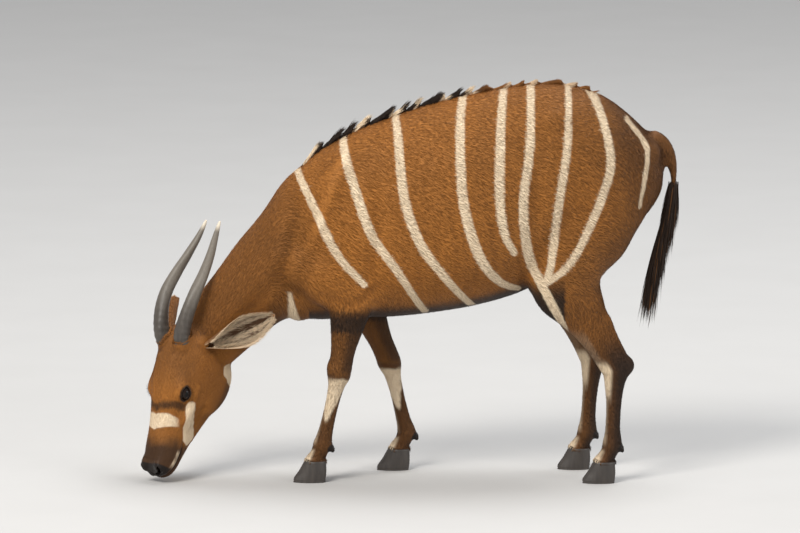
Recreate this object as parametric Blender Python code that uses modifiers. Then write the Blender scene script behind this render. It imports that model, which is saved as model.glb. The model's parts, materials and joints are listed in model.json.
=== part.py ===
"""A life-size bongo antelope, head down to drink, as one still museum model.

Metres, +Z up. The animal faces -X, so its left side is towards -Y. It is modelled whole, parted into the
pieces a person would name, and set with the middle of its outline over the origin and its hooves on z = 0.
"""

import math
import random

import bmesh
import bpy
import numpy as np
from mathutils import Matrix, Vector

# Driving sizes
GAP = 0.0003
HEAD_SIZE = 1.0
HEAD_LENGTH = 0.425
HEAD_PITCH = math.radians(64)
HEAD_YAW = math.radians(42)
HEAD_ROLL = math.radians(3)
POLL = Vector((-0.826, -0.046, 0.443))
HORN_BASE_RADIUS = 0.023
EAR_LENGTH = 0.215
EAR_WIDTH = 0.112
EAR_THICKNESS = 0.0036
EYE_RADIUS = 0.0215
LID_THICKNESS = 0.0026
LID_LENGTH = 0.038
LID_HEIGHT = 0.0265
LID_RIM = 0.0032
HOOF_LENGTH = 0.092
HOOF_WIDTH = 0.0345
HOOF_HEIGHT = 0.056
CLAW_GAP = 0.003
MANE_LENGTH = 0.062
TUFT_LENGTH = 0.21

# How finely the body is modelled, and how many triangles each reading of it keeps
VOXEL = 0.0045
COARSE_FACES = 3600
LEG_FACES = 9500
FINE_FACES = 15800

LEFT = -1
RIGHT = 1

# Trunk stations from the breast to the tail: place along X, top, bottom, widest level, half width
TRUNK = (
    (-0.530, 0.780, 0.570, 0.670, 0.050),
    (-0.495, 0.868, 0.480, 0.670, 0.105),
    (-0.430, 0.945, 0.458, 0.670, 0.146),
    (-0.320, 1.012, 0.464, 0.680, 0.176),
    (-0.190, 1.064, 0.468, 0.695, 0.208),
    (-0.060, 1.104, 0.483, 0.715, 0.232),
    (0.070, 1.133, 0.508, 0.740, 0.240),
    (0.190, 1.152, 0.548, 0.790, 0.224),
    (0.300, 1.152, 0.610, 0.860, 0.202),
    (0.400, 1.122, 0.660, 0.890, 0.188),
    (0.480, 1.068, 0.710, 0.890, 0.162),
    (0.550, 0.996, 0.780, 0.885, 0.118),
    (0.588, 0.930, 0.840, 0.880, 0.050),
)

# Neck stations: crest (x, z), throat (x, z), bend to the side, half width
NECK = (
    (-0.400, 0.955, -0.400, 0.500, 0.000, 0.118),
    (-0.508, 0.878, -0.475, 0.470, 0.000, 0.114),
    (-0.586, 0.768, -0.530, 0.448, 0.000, 0.099),
    (-0.650, 0.690, -0.586, 0.400, 0.002, 0.086),
    (-0.703, 0.616, -0.636, 0.356, 0.004, 0.078),
    (-0.752, 0.552, -0.678, 0.320, 0.007, 0.072),
    (-0.796, 0.490, -0.718, 0.298, 0.010, 0.067),
    (-0.830, 0.444, -0.762, 0.298, 0.012, 0.056),
)

# Head stations from the poll to the nose: place along the nose, top, bottom, widest level, half width
SKULL = (
    (-0.040, -0.050, -0.130, -0.088, 0.048),
    (-0.015, -0.014, -0.176, -0.082, 0.069),
    (0.030, 0.006, -0.218, -0.080, 0.079),
    (0.080, 0.012, -0.240, -0.080, 0.084),
    (0.130, 0.010, -0.238, -0.080, 0.082),
    (0.180, 0.000, -0.216, -0.082, 0.073),
    (0.230, -0.016, -0.198, -0.086, 0.061),
    (0.290, -0.032, -0.174, -0.090, 0.054),
    (0.345, -0.045, -0.155, -0.093, 0.054),
    (0.385, -0.056, -0.142, -0.096, 0.051),
    (0.410, -0.069, -0.131, -0.098, 0.038),
    (0.422, -0.083, -0.116, -0.099, 0.016),
)

# Places on the head: to the side, along the nose, above the brow line
EYE_PLACE = Vector((0.0590, 0.178, -0.052))
EAR_PLACE = Vector((0.077, 0.022, -0.068))
EAR_REACH = {-1: Vector((0.84, -0.50, -0.20)), 1: Vector((0.66, -0.66, -0.36))}
NOSTRIL_PLACE = Vector((0.0245, 0.404, -0.074))
NOSTRIL_HOLLOWS = (
    ((0.0190, 0.421, -0.0860), (0.0076, 0.016, 0.0056)),
    ((0.0275, 0.419, -0.0810), (0.0070, 0.016, 0.0052)),
    ((0.0345, 0.410, -0.0725), (0.0044, 0.015, 0.0066)),
)
MOUTH_CORNER = 0.318
MOUTH_LEVEL = -0.116
MOUTH_RISE = 0.010

# Left horn: points of its centre line on the head, root to tip
HORN_LINE = (
    (0.036, 0.058, -0.030),
    (0.041, 0.026, 0.008),
    (0.051, -0.032, 0.024),
    (0.058, -0.095, 0.024),
    (0.057, -0.160, 0.012),
    (0.048, -0.222, 0.000),
    (0.037, -0.280, -0.008),
    (0.030, -0.335, -0.012),
)

# Joints of each leg (x, y, z), from the body down to the coronet
FORE_JOINTS = {
    LEFT: ((-0.322, -0.118, 0.640), (-0.318, -0.122, 0.535), (-0.352, -0.112, 0.322),
           (-0.402, -0.108, 0.108), (-0.424, -0.107, HOOF_HEIGHT)),
    RIGHT: ((-0.322, 0.118, 0.640), (-0.300, 0.122, 0.535), (-0.208, 0.112, 0.318),
            (-0.158, 0.106, 0.108), (-0.182, 0.105, HOOF_HEIGHT)),
}
HIND_JOINTS = {
    LEFT: ((0.345, -0.118, 0.800), (0.288, -0.140, 0.610), (0.446, -0.116, 0.330),
           (0.438, -0.118, 0.110), (0.414, -0.120, HOOF_HEIGHT)),
    RIGHT: ((0.345, 0.118, 0.800), (0.272, 0.140, 0.610), (0.386, 0.114, 0.330),
            (0.370, 0.116, 0.110), (0.346, 0.118, HOOF_HEIGHT)),
}

# Leg stations: which stretch between joints, how far along it, half depth fore and aft, half width
FORE_STATIONS = (
    (0, 0.00, 0.080, 0.052), (1, 0.00, 0.070, 0.047), (1, 0.35, 0.054, 0.040), (1, 0.70, 0.037, 0.031),
    (1, 0.95, 0.035, 0.033), (2, 0.07, 0.034, 0.032), (2, 0.22, 0.024, 0.023), (2, 0.55, 0.0205, 0.019),
    (2, 0.85, 0.023, 0.022), (3, 0.00, 0.029, 0.027), (3, 0.50, 0.024, 0.026), (3, 1.00, 0.034, 0.033),
)
HIND_STATIONS = (
    (0, 0.00, 0.140, 0.074), (0, 0.60, 0.128, 0.070), (1, 0.10, 0.112, 0.060), (1, 0.35, 0.082, 0.048),
    (1, 0.60, 0.056, 0.036), (1, 0.82, 0.043, 0.030), (2, 0.00, 0.041, 0.032), (2, 0.18, 0.031, 0.027),
    (2, 0.45, 0.0235, 0.0205), (2, 0.80, 0.023, 0.021), (3, 0.00, 0.030, 0.028), (3, 0.50, 0.024, 0.027),
    (3, 1.00, 0.035, 0.034),
)

# Muscles and bones that show, each side: centre (x, y, z), radii, lean about Y in degrees
BULGES = (
    ("shoulder_blade", (-0.360, 0.100, 0.775), (0.090, 0.052, 0.180), 14),
    ("shoulder_point", (-0.462, 0.090, 0.632), (0.060, 0.058, 0.080), 0),
    ("upper_arm", (-0.362, 0.118, 0.600), (0.115, 0.056, 0.100), 15),
    ("breast", (-0.470, 0.030, 0.545), (0.060, 0.070, 0.090), 0),
    ("hip", (0.262, 0.118, 1.045), (0.090, 0.045, 0.055), 0),
    ("thigh", (0.362, 0.108, 0.800), (0.160, 0.084, 0.215), 12),
    ("buttock", (0.456, 0.080, 0.835), (0.098, 0.062, 0.155), 14),
    ("stifle", (0.270, 0.132, 0.640), (0.070, 0.050, 0.090), 20),
    ("pin_bone", (0.540, 0.052, 0.950), (0.045, 0.036, 0.045), 0),
)

# Forms of the head, each side, in the head's own frame: centre, radii
HEAD_BULGES = (
    ("brow", (0.059, 0.164, -0.034), (0.022, 0.040, 0.020)),
    ("cheekbone", (0.054, 0.206, -0.088), (0.018, 0.064, 0.019)),
    ("cheek", (0.047, 0.112, -0.146), (0.031, 0.104, 0.074)),
    ("ear_root", (0.060, 0.020, -0.064), (0.026, 0.030, 0.032)),
    ("horn_root", (0.037, 0.040, -0.012), (0.029, 0.034, 0.028)),
    ("nostril_wing", (0.027, 0.392, -0.076), (0.019, 0.027, 0.022)),
    ("lip", (0.030, 0.358, -0.110), (0.022, 0.050, 0.021)),
)

# Tail stations: centre (x, y, z), half width, half depth
TAIL_LINE = (
    (0.545, 0.000, 0.998, 0.036, 0.030), (0.588, 0.000, 0.975, 0.030, 0.026), (0.612, -0.002, 0.925, 0.024, 0.020),
    (0.616, -0.006, 0.860, 0.019, 0.016), (0.604, -0.010, 0.790, 0.016, 0.013), (0.584, -0.013, 0.725, 0.014, 0.011),
    (0.566, -0.014, 0.665, 0.012, 0.010), (0.556, -0.014, 0.610, 0.008, 0.007),
)

# Where the body is parted
NECK_CUT = (Vector((-0.520, 0, 0.700)), Vector((-0.97, 0, -0.24)))
HEAD_CUT = (Vector((-0.756, 0, 0.422)), Vector((-0.62, -0.10, -0.78)))
FORE_TOP = 0.478
HIND_TOP = {LEFT: (Vector((0.240, 0, 0.560)), 16), RIGHT: (Vector((0.225, 0, 0.560)), 16)}

COLOURS = {
    "coat": (0.42, 0.17, 0.055, 1.0),
    "leg": (0.20, 0.10, 0.055, 1.0),
    "mane": (0.05, 0.035, 0.03, 1.0),
    "horn": (0.09, 0.075, 0.06, 1.0),
    "hoof": (0.05, 0.045, 0.04, 1.0),
    "eye": (0.015, 0.010, 0.008, 1.0),
}


def clear_scene():
    for item in list(bpy.data.objects):
        bpy.data.objects.remove(item, do_unlink=True)


def collection_named(name):
    made = bpy.data.collections.new(name)
    bpy.context.scene.collection.children.link(made)
    return made


def material_named(name, roughness):
    material = bpy.data.materials.new(name)
    material.use_nodes = True
    shader = material.node_tree.nodes["Principled BSDF"]
    shader.inputs["Base Color"].default_value = COLOURS[name]
    shader.inputs["Roughness"].default_value = roughness
    material.diffuse_color = COLOURS[name]
    return material


def object_from(name, mesh, collection):
    made = bpy.data.objects.new(name, mesh)
    collection.objects.link(made)
    return made


def evaluated_mesh(source):
    """The object's mesh with its modifiers applied, in world space."""
    bpy.context.view_layer.update()
    graph = bpy.context.evaluated_depsgraph_get()
    mesh = bpy.data.meshes.new_from_object(source.evaluated_get(graph))
    mesh.transform(source.matrix_world)
    return mesh


def through(rows, steps):
    """The rows of a station table read at even steps along a smooth curve through them."""
    rows = np.array(rows, float)
    padded = np.vstack([2 * rows[0] - rows[1], rows, 2 * rows[-1] - rows[-2]])
    read = []
    for at in np.linspace(0, len(rows) - 1, steps):
        first = min(int(at), len(rows) - 2)
        t = at - first
        a, b, c, d = padded[first:first + 4]
        read.append(0.5 * (2 * b + (c - a) * t + (2 * a - 5 * b + 4 * c - d) * t * t
                           + (3 * b - a - 3 * c + d) * t ** 3))
    return np.array(read)


def oval(centre, side, up, half_width, rise, drop, points, power=2.0):
    """A ring whose upper half rises by one amount and whose lower half drops by another."""
    ring = []
    for k in range(points):
        angle = 2 * math.pi * k / points
        across, high = math.cos(angle), math.sin(angle)
        across = math.copysign(abs(across) ** (2 / power), across)
        high = math.copysign(abs(high) ** (2 / power), high)
        ring.append(centre + side * (half_width * across) + up * ((rise if high > 0 else drop) * high))
    return ring


def loft(rings, collection, name="loft"):
    """A closed skin over rings of equal count, with a flat cap at each end."""
    shape = bmesh.new()
    rows = [[shape.verts.new(point) for point in ring] for ring in rings]
    count = len(rows[0])
    for low, high in zip(rows, rows[1:]):
        for k in range(count):
            shape.faces.new((low[k], low[(k + 1) % count], high[(k + 1) % count], high[k]))
    shape.faces.new(rows[0])
    shape.faces.new(rows[-1])
    bmesh.ops.triangulate(shape, faces=[f for f in shape.faces if len(f.verts) > 4])
    bmesh.ops.recalc_face_normals(shape, faces=shape.faces)
    mesh = bpy.data.meshes.new(name)
    shape.to_mesh(mesh)
    shape.free()
    return object_from(name, mesh, collection)


def ball(centre, radii, turn, collection, name="ball", segments=32):
    """An ellipsoid whose own axes are turned by a matrix."""
    shape = bmesh.new()
    place = Matrix.Translation(centre) @ turn.to_4x4() @ Matrix.Diagonal((*radii, 1.0))
    bmesh.ops.create_uvsphere(shape, u_segments=segments, v_segments=segments // 2, radius=1.0, matrix=place)
    mesh = bpy.data.meshes.new(name)
    shape.to_mesh(mesh)
    shape.free()
    return object_from(name, mesh, collection)


def block(corner, far_corner, collection, name="block", turn=None):
    """A box between two corners, turned about its first corner if a matrix is given."""
    low, high = Vector(corner), Vector(far_corner)
    size = high - low
    shape = bmesh.new()
    place = Matrix.Translation((low + high) / 2 - low) @ Matrix.Diagonal((*size, 1.0))
    if turn is not None:
        place = turn.to_4x4() @ place
    bmesh.ops.create_cube(shape, size=1.0, matrix=Matrix.Translation(low) @ place)
    mesh = bpy.data.meshes.new(name)
    shape.to_mesh(mesh)
    shape.free()
    return object_from(name, mesh, collection)


def head_frame():
    """The matrix from the head's own frame (side, nose, brow) to the world."""
    pitch, yaw = HEAD_PITCH, HEAD_YAW
    nose = Vector((-math.cos(pitch) * math.cos(yaw), -math.cos(pitch) * math.sin(yaw), -math.sin(pitch)))
    brow = Vector((-math.sin(pitch) * math.cos(yaw), -math.sin(pitch) * math.sin(yaw), math.cos(pitch)))
    tilt = Matrix.Rotation(HEAD_ROLL, 3, brow)
    nose = tilt @ nose
    side = brow.cross(nose)
    frame = (Matrix((side, nose, brow)).transposed() * HEAD_SIZE).to_4x4()
    frame.translation = POLL
    return frame


HEAD = head_frame()


def on_head(place, side=LEFT):
    """A place on the head in the world; the head's side axis points to its left."""
    across, along, above = place
    return HEAD @ Vector((-side * across, along, above))


def leg_rings(joints, stations, steps, points):
    """Rings down a leg, each square to the leg's own line."""
    rows = []
    for stretch, share, depth, width in stations:
        start = Vector(joints[stretch])
        end = Vector(joints[min(stretch + 1, len(joints) - 1)])
        rows.append((*start.lerp(end, share), depth, width))
    read = through(rows, steps)
    lines = np.gradient(read[:, :3], axis=0)
    rings = []
    for row, line in zip(read, lines):
        down = Vector(line).normalized()
        fore = down.cross(Vector((0, 1, 0))).normalized()
        side = fore.cross(down).normalized()
        rings.append(oval(Vector(row[:3]), side, fore, row[4], row[3], row[3], points))
    return rings


def trunk_rings(steps, points):
    rings = []
    for x, top, bottom, widest, half in through(TRUNK, steps):
        centre = Vector((x, 0, widest))
        rings.append(oval(centre, Vector((0, 1, 0)), Vector((0, 0, 1)), half, top - widest, widest - bottom,
                          points, 2.1))
    return rings


def neck_rings(steps, points):
    rings = []
    for crest_x, crest_z, throat_x, throat_z, bend, half in through(NECK, steps):
        crest, throat = Vector((crest_x, bend, crest_z)), Vector((throat_x, bend, throat_z))
        up = (crest - throat).normalized()
        reach = (crest - throat).length / 2
        rings.append(oval((crest + throat) / 2, Vector((0, 1, 0)), up, half, reach, reach, points))
    return rings


def skull_rings(steps, points):
    rings = []
    for along, top, bottom, widest, half in through(SKULL, steps):
        ring = oval(Vector((0, along, widest)), Vector((1, 0, 0)), Vector((0, 0, 1)), half, top - widest,
                    widest - bottom, points, 2.25)
        rings.append([HEAD @ point for point in ring])
    return rings


def flesh_pieces(store):
    """Every overlapping form that the body's skin is drawn over."""
    loft(trunk_rings(48, 48), store)
    loft(neck_rings(24, 40), store)
    loft(skull_rings(40, 40), store)
    for side in (LEFT, RIGHT):
        loft(leg_rings(FORE_JOINTS[side], FORE_STATIONS, 40, 24), store)
        loft(leg_rings(HIND_JOINTS[side], HIND_STATIONS, 44, 24), store)
        for name, (x, y, z), radii, lean in BULGES:
            turn = Matrix.Rotation(math.radians(lean), 3, "Y")
            ball(Vector((x, side * y, z)), radii, turn, store, name)
        for name, place, radii in HEAD_BULGES:
            ball(on_head(place, side), radii, HEAD.to_3x3(), store, name)
        heel(side, store)
        dewclaws(FORE_JOINTS[side], store)
        dewclaws(HIND_JOINTS[side], store)
        knee_cap(FORE_JOINTS[side], store)


def heel(side, store):
    """The point of the hock and the tendon above it."""
    hock = Vector(HIND_JOINTS[side][2])
    stifle = Vector(HIND_JOINTS[side][1])
    point = hock + Vector((0.040, 0, 0.012))
    ball(point, (0.020, 0.017, 0.030), Matrix.Identity(3), store, "heel")
    calf = hock.lerp(stifle, 0.55) + Vector((0.052, 0, 0.010))
    rows = [(*point.lerp(calf, share), thick) for share, thick in ((0, 0.016), (0.3, 0.0135), (0.7, 0.017), (1, 0.026))]
    rings = [oval(Vector(r[:3]), Vector((0, 1, 0)), Vector((1, 0, 0)), r[3], r[3], r[3], 16) for r in through(rows, 12)]
    loft(rings, store, "tendon")


def knee_cap(joints, store):
    knee = Vector(joints[2])
    ball(knee + Vector((-0.012, 0, 0.008)), (0.027, 0.031, 0.040), Matrix.Identity(3), store, "knee_cap")


def dewclaws(joints, store):
    """The two small side toes behind the fetlock."""
    fetlock = Vector(joints[3])
    for across in (-1, 1):
        place = fetlock + Vector((0.027, across * 0.013, -0.010))
        ball(place, (0.010, 0.0085, 0.016), Matrix.Rotation(math.radians(-25), 3, "Y"), store, "dewclaw", 16)


def joined(pieces, name, collection):
    """One object with every piece's faces in it, and the pieces removed."""
    shape = bmesh.new()
    for piece in list(pieces):
        mesh = piece.data.copy()
        mesh.transform(piece.matrix_world)
        shape.from_mesh(mesh)
        bpy.data.objects.remove(piece, do_unlink=True)
    mesh = bpy.data.meshes.new(name)
    shape.to_mesh(mesh)
    shape.free()
    return object_from(name, mesh, collection)


def remeshed(source, voxel, name, collection):
    """One even skin over everything in the source."""
    remesh = source.modifiers.new("even_skin", "REMESH")
    remesh.mode = "VOXEL"
    remesh.voxel_size = voxel
    mesh = evaluated_mesh(source)
    bpy.data.objects.remove(source, do_unlink=True)
    return object_from(name, mesh, collection)


def points_of(mesh):
    points = np.empty(len(mesh.vertices) * 3)
    mesh.vertices.foreach_get("co", points)
    return points.reshape(-1, 3)


def normals_of(mesh):
    normals = np.empty(len(mesh.vertices) * 3)
    mesh.vertex_normals.foreach_get("vector", normals)
    return normals.reshape(-1, 3)


def put_points(mesh, points):
    mesh.vertices.foreach_set("co", points.astype(np.float32).ravel())
    mesh.update()


def relax(mesh, weight, rounds):
    """Evens the skin out, most where the weight is 1; each inward step is paid back, so thin parts keep their girth."""
    edges = np.empty(len(mesh.edges) * 2, np.int64)
    mesh.edges.foreach_get("vertices", edges)
    ends = edges.reshape(-1, 2)
    both = np.vstack([ends, ends[:, ::-1]])
    count = np.bincount(both[:, 0], minlength=len(mesh.vertices))[:, None]
    points = points_of(mesh)
    for step in range(2 * rounds):
        pull = 0.55 if step % 2 == 0 else -0.56
        total = np.stack([np.bincount(both[:, 0], points[both[:, 1], axis], len(points)) for axis in range(3)], 1)
        points += pull * weight[:, None] * (total / count - points)
    put_points(mesh, points)


def soften(mesh, weight, rounds):
    """Fills the creases between joined forms by plain averaging, most where the weight is 1."""
    edges = np.empty(len(mesh.edges) * 2, np.int64)
    mesh.edges.foreach_get("vertices", edges)
    ends = edges.reshape(-1, 2)
    both = np.vstack([ends, ends[:, ::-1]])
    count = np.bincount(both[:, 0], minlength=len(mesh.vertices))[:, None]
    points = points_of(mesh)
    for _ in range(rounds):
        total = np.stack([np.bincount(both[:, 0], points[both[:, 1], axis], len(points)) for axis in range(3)], 1)
        points += 0.6 * weight[:, None] * (total / count - points)
    put_points(mesh, points)


def blend(low, high, values):
    """0 below the first value, 1 above the second, smooth between."""
    t = np.clip((values - low) / (high - low), 0, 1)
    return t * t * (3 - 2 * t)


def to_head(points):
    """World points in the head's own frame."""
    back = np.array(HEAD.inverted())
    return points @ back[:3, :3].T + back[:3, 3]


def body_weight(points):
    """How much of the smoothing each point takes: all on the trunk, little on the head and the lower legs."""
    trunk = 0.10 + 0.90 * blend(0.30, 0.62, points[:, 2])
    along = to_head(points)[:, 1]
    on_face = blend(-0.04, 0.06, along) * (points[:, 0] < -0.60)
    face = 0.25 - 0.10 * blend(0.28, 0.36, along)
    return trunk * (1 - on_face) + face * on_face


def shape_lips(mesh):
    """Swells the lips above and below the mouth line, and the rims of the nostrils."""
    points, normals = points_of(mesh), normals_of(mesh)
    across, along, above = to_head(points).T
    face = (points[:, 0] < -0.60) & (along > 0.2)
    level = above - mouth_level(along)
    inside = blend(MOUTH_CORNER - 0.010, MOUTH_CORNER + 0.010, along)
    push = -0.0030 * inside * np.exp(-(level / 0.0050) ** 2)
    push += 0.0034 * inside * np.exp(-((level - 0.0115) / 0.008) ** 2)
    push += 0.0026 * inside * np.exp(-((level + 0.0115) / 0.008) ** 2)
    wide = np.abs(across) - NOSTRIL_PLACE.x
    rise = above - NOSTRIL_PLACE.z
    front = blend(0.370, 0.396, along)
    push += 0.0035 * front * np.exp(-(wide / 0.013) ** 2 - (rise / 0.011) ** 2)
    points += normals * (push * face)[:, None]
    put_points(mesh, points)


def mouth_level(along):
    """How far above the head's base line the lips meet, from the corner to the front."""
    share = np.clip((along - MOUTH_CORNER) / (HEAD_LENGTH - MOUTH_CORNER), 0, 1)
    return MOUTH_LEVEL + MOUTH_RISE * share ** 1.6


def mouth_slit(cutters):
    """A blade that parts the lips, thin at the corner of the mouth."""
    rings = []
    for share in np.linspace(0, 1, 9):
        along = MOUTH_CORNER + share * (HEAD_LENGTH + 0.02 - MOUTH_CORNER)
        level, half = float(mouth_level(along)), 0.0005 + 0.0011 * min(share * 3, 1)
        corners = ((-0.09, level - half), (0.09, level - half), (0.09, level + half), (-0.09, level + half))
        rings.append([HEAD @ Vector((across, along, above)) for across, above in corners])
    return loft(rings, cutters, "mouth_slit")


def nostril(side, cutters):
    """Small hollows in a comma: wide at the front, with a tail that curls up and out."""
    turn = HEAD.to_3x3() @ Matrix.Rotation(math.radians(-side * 25), 3, "Z")
    return [ball(on_head(place, side), radii, turn, cutters, "nostril", 12) for place, radii in NOSTRIL_HOLLOWS]


def thinned(source, faces, name, collection):
    """A copy of the object with about that many triangles, the flat places thinned first."""
    copy = object_from(name, source.data.copy(), collection)
    decimate = copy.modifiers.new("thin", "DECIMATE")
    decimate.ratio = faces / (2 * len(source.data.polygons))
    decimate.use_collapse_triangulate = True
    mesh = evaluated_mesh(copy)
    bpy.data.objects.remove(copy, do_unlink=True)
    return object_from(name, mesh, collection)


def keep_largest(mesh):
    """Drops every closed surface of the mesh but the largest."""
    shape = bmesh.new()
    shape.from_mesh(mesh)
    left = set(shape.verts)
    islands = []
    while left:
        stack = [left.pop()]
        island = set(stack)
        while stack:
            for edge in stack.pop().link_edges:
                for vertex in edge.verts:
                    if vertex in left:
                        left.remove(vertex)
                        island.add(vertex)
                        stack.append(vertex)
        islands.append(island)
    islands.sort(key=len)
    for island in islands[:-1]:
        bmesh.ops.delete(shape, geom=list(island), context="VERTS")
    shape.to_mesh(mesh)
    shape.free()


def with_boolean(source, operation, others, name, collection, solver="EXACT"):
    """A new object: the source joined to, cut by or limited to the others, in order."""
    copy = object_from(name, source.data.copy(), collection)
    copy.matrix_world = source.matrix_world
    for other in others:
        step = copy.modifiers.new("step", "BOOLEAN")
        step.operation = operation
        step.solver = solver
        step.object = other
    mesh = evaluated_mesh(copy)
    bpy.data.objects.remove(copy, do_unlink=True)
    keep_largest(mesh)
    made = object_from(name, mesh, collection)
    made.name = name
    return made


def remove(items):
    for item in list(items):
        bpy.data.objects.remove(item, do_unlink=True)


def paint(item, material):
    item.data.materials.clear()
    item.data.materials.append(material)
    item.data.shade_smooth()
    item.data.set_sharp_from_angle(angle=math.radians(50))


def grown(source, distance, collection):
    """A copy of the piece that is larger by a distance all round."""
    made = object_from("grown", source.data.copy(), collection)
    put_points(made.data, points_of(made.data) + normals_of(made.data) * distance)
    return made


def half_space(point, normal, collection, reach=1.6):
    """A large block that fills the side of a plane that its normal points to."""
    turn = Vector((0, 0, 1)).rotation_difference(Vector(normal).normalized()).to_matrix()
    shape = bmesh.new()
    place = (Matrix.Translation(point) @ turn.to_4x4() @ Matrix.Translation((0, 0, reach / 2))
             @ Matrix.Diagonal((reach, reach, reach, 1.0)))
    bmesh.ops.create_cube(shape, size=1.0, matrix=place)
    mesh = bpy.data.meshes.new("half_space")
    shape.to_mesh(mesh)
    shape.free()
    return object_from("half_space", mesh, collection)


def part_body(coarse, middling, fine, parts, cutters):
    """Parts the body into its named pieces, each pair of faces a hair apart."""
    head_point, head_normal = HEAD_CUT
    neck_point, neck_normal = NECK_CUT
    head_normal, neck_normal = head_normal.normalized(), neck_normal.normalized()
    head_side = half_space(head_point + head_normal * GAP / 2, head_normal, cutters)
    head_grown = half_space(head_point - head_normal * GAP / 2, head_normal, cutters)
    neck_side = half_space(neck_point + neck_normal * GAP / 2, neck_normal, cutters)
    neck_grown = half_space(neck_point - neck_normal * GAP / 2, neck_normal, cutters)
    made = {"head": with_boolean(fine, "INTERSECT", [head_side], "head", parts)}
    front = with_boolean(coarse, "INTERSECT", [neck_side], "front", cutters)
    made["neck"] = with_boolean(front, "DIFFERENCE", [head_grown], "neck", parts)
    rest = with_boolean(coarse, "DIFFERENCE", [neck_grown], "rest", cutters)
    tops = []
    for side, word in ((LEFT, "left"), (RIGHT, "right")):
        knee, ankle = FORE_JOINTS[side][2], FORE_JOINTS[side][4]
        near, far = sorted((side * 0.035, side * 0.40))
        upper = block((-0.43, near, knee[2]), (-0.15, far, FORE_TOP), cutters)
        upper_grown = block((-0.43 - GAP, near - GAP, 0.0), (-0.15 + GAP, far + GAP, FORE_TOP + GAP), cutters)
        lower = block((-0.62, near, ankle[2]), (0.02, far, knee[2] - GAP), cutters)
        made[f"foreleg_{word}_upper"] = with_boolean(coarse, "INTERSECT", [upper], f"foreleg_{word}_upper", parts)
        made[f"foreleg_{word}_lower"] = with_boolean(middling, "INTERSECT", [lower], f"foreleg_{word}_lower", parts)
        hock, ankle = HIND_JOINTS[side][2], HIND_JOINTS[side][4]
        corner, lean = HIND_TOP[side]
        turn = Matrix.Rotation(math.radians(-lean), 3, "Y")
        low = (corner.x - 0.12, near, corner.z - 0.50)
        high = (corner.x + 0.45, far, corner.z)
        wedge = slanted_block(low, high, turn, corner, cutters)
        wedge_grown = slanted_block(low, (high[0], high[1], high[2] + GAP), turn, corner, cutters)
        below = block((-0.2, -0.5, -0.1), (0.9, 0.5, hock[2] + 0.02), cutters)
        thigh = with_boolean(coarse, "INTERSECT", [wedge], "thigh", cutters)
        made[f"hindleg_{word}_upper"] = with_boolean(thigh, "DIFFERENCE", [below], f"hindleg_{word}_upper", parts)
        lower = block((0.05, near, ankle[2]), (0.70, far, hock[2] + 0.02 - GAP), cutters)
        made[f"hindleg_{word}_lower"] = with_boolean(middling, "INTERSECT", [lower], f"hindleg_{word}_lower", parts)
        tops += [upper_grown, wedge_grown]
    made["torso"] = with_boolean(rest, "DIFFERENCE", tops, "torso", parts)
    remove(cutters.objects)
    return made


def slanted_block(low, high, turn, pivot, collection):
    """A box given in a frame that is turned about a pivot."""
    made = block(low, high, collection)
    place = Matrix.Translation(pivot) @ turn.to_4x4() @ Matrix.Translation(-pivot)
    made.data.transform(place)
    return made


def claw(joints, across, name, parts):
    """One half of a cloven hoof: a pointed, flat-soled cap that widens to the ground."""
    coronet = Vector(joints[4])
    middle = across * (HOOF_WIDTH + CLAW_GAP) / 2
    levels = ((0.0, 1.0, 1.0, -0.002), (0.010, 0.99, 1.0, 0.0), (0.030, 0.86, 0.95, 0.008),
              (HOOF_HEIGHT - GAP, 0.70, 0.86, 0.014))
    rings = []
    for height, long, wide, back in levels:
        ring = []
        for k in range(14):
            angle = 2 * math.pi * k / 14
            reach = math.cos(angle)
            width = math.sin(angle) * (1 - 0.42 * max(reach, 0) ** 2)
            ring.append(Vector((coronet.x - 0.014 + back - reach * long * HOOF_LENGTH / 2,
                                coronet.y + middle + width * wide * HOOF_WIDTH / 2, height)))
        rings.append(ring)
    return loft(rings, parts, name)


def horn(side, name, parts):
    """A smooth horn with one open turn, its keel winding round it."""
    rows = through([(*on_head(place, side),) for place in HORN_LINE], 22)
    lines = np.gradient(rows, axis=0)
    rings = []
    for k, (place, line) in enumerate(zip(rows, lines)):
        share = k / (len(rows) - 1)
        ahead = Vector(line).normalized()
        across = ahead.cross(HEAD.to_3x3() @ Vector((1, 0, 0))).normalized()
        other = ahead.cross(across)
        radius = HORN_BASE_RADIUS * (1 - share) ** 0.62 + 0.0022
        keel = math.radians(40) + side * math.radians(260) * share
        ring = []
        for n in range(10):
            angle = 2 * math.pi * n / 10
            swell = 1 + 0.16 * math.cos(angle - keel) ** 3
            ring.append(Vector(place) + (across * math.cos(angle) + other * math.sin(angle)) * radius * swell)
        rings.append(ring)
    return loft(rings, parts, name)


def ear_axes(side):
    """The ear's own frame: from root to tip, across, and the way the cup opens."""
    turn = HEAD.to_3x3()
    across, along, above = EAR_REACH[side]
    reach = (turn @ Vector((-side * across, along, above))).normalized()
    opening = turn @ Vector((-side * 0.30, 0.62, 0.55))
    opening = (opening - reach * opening.dot(reach)).normalized()
    across = reach.cross(opening).normalized()
    return reach, across, opening


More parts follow.
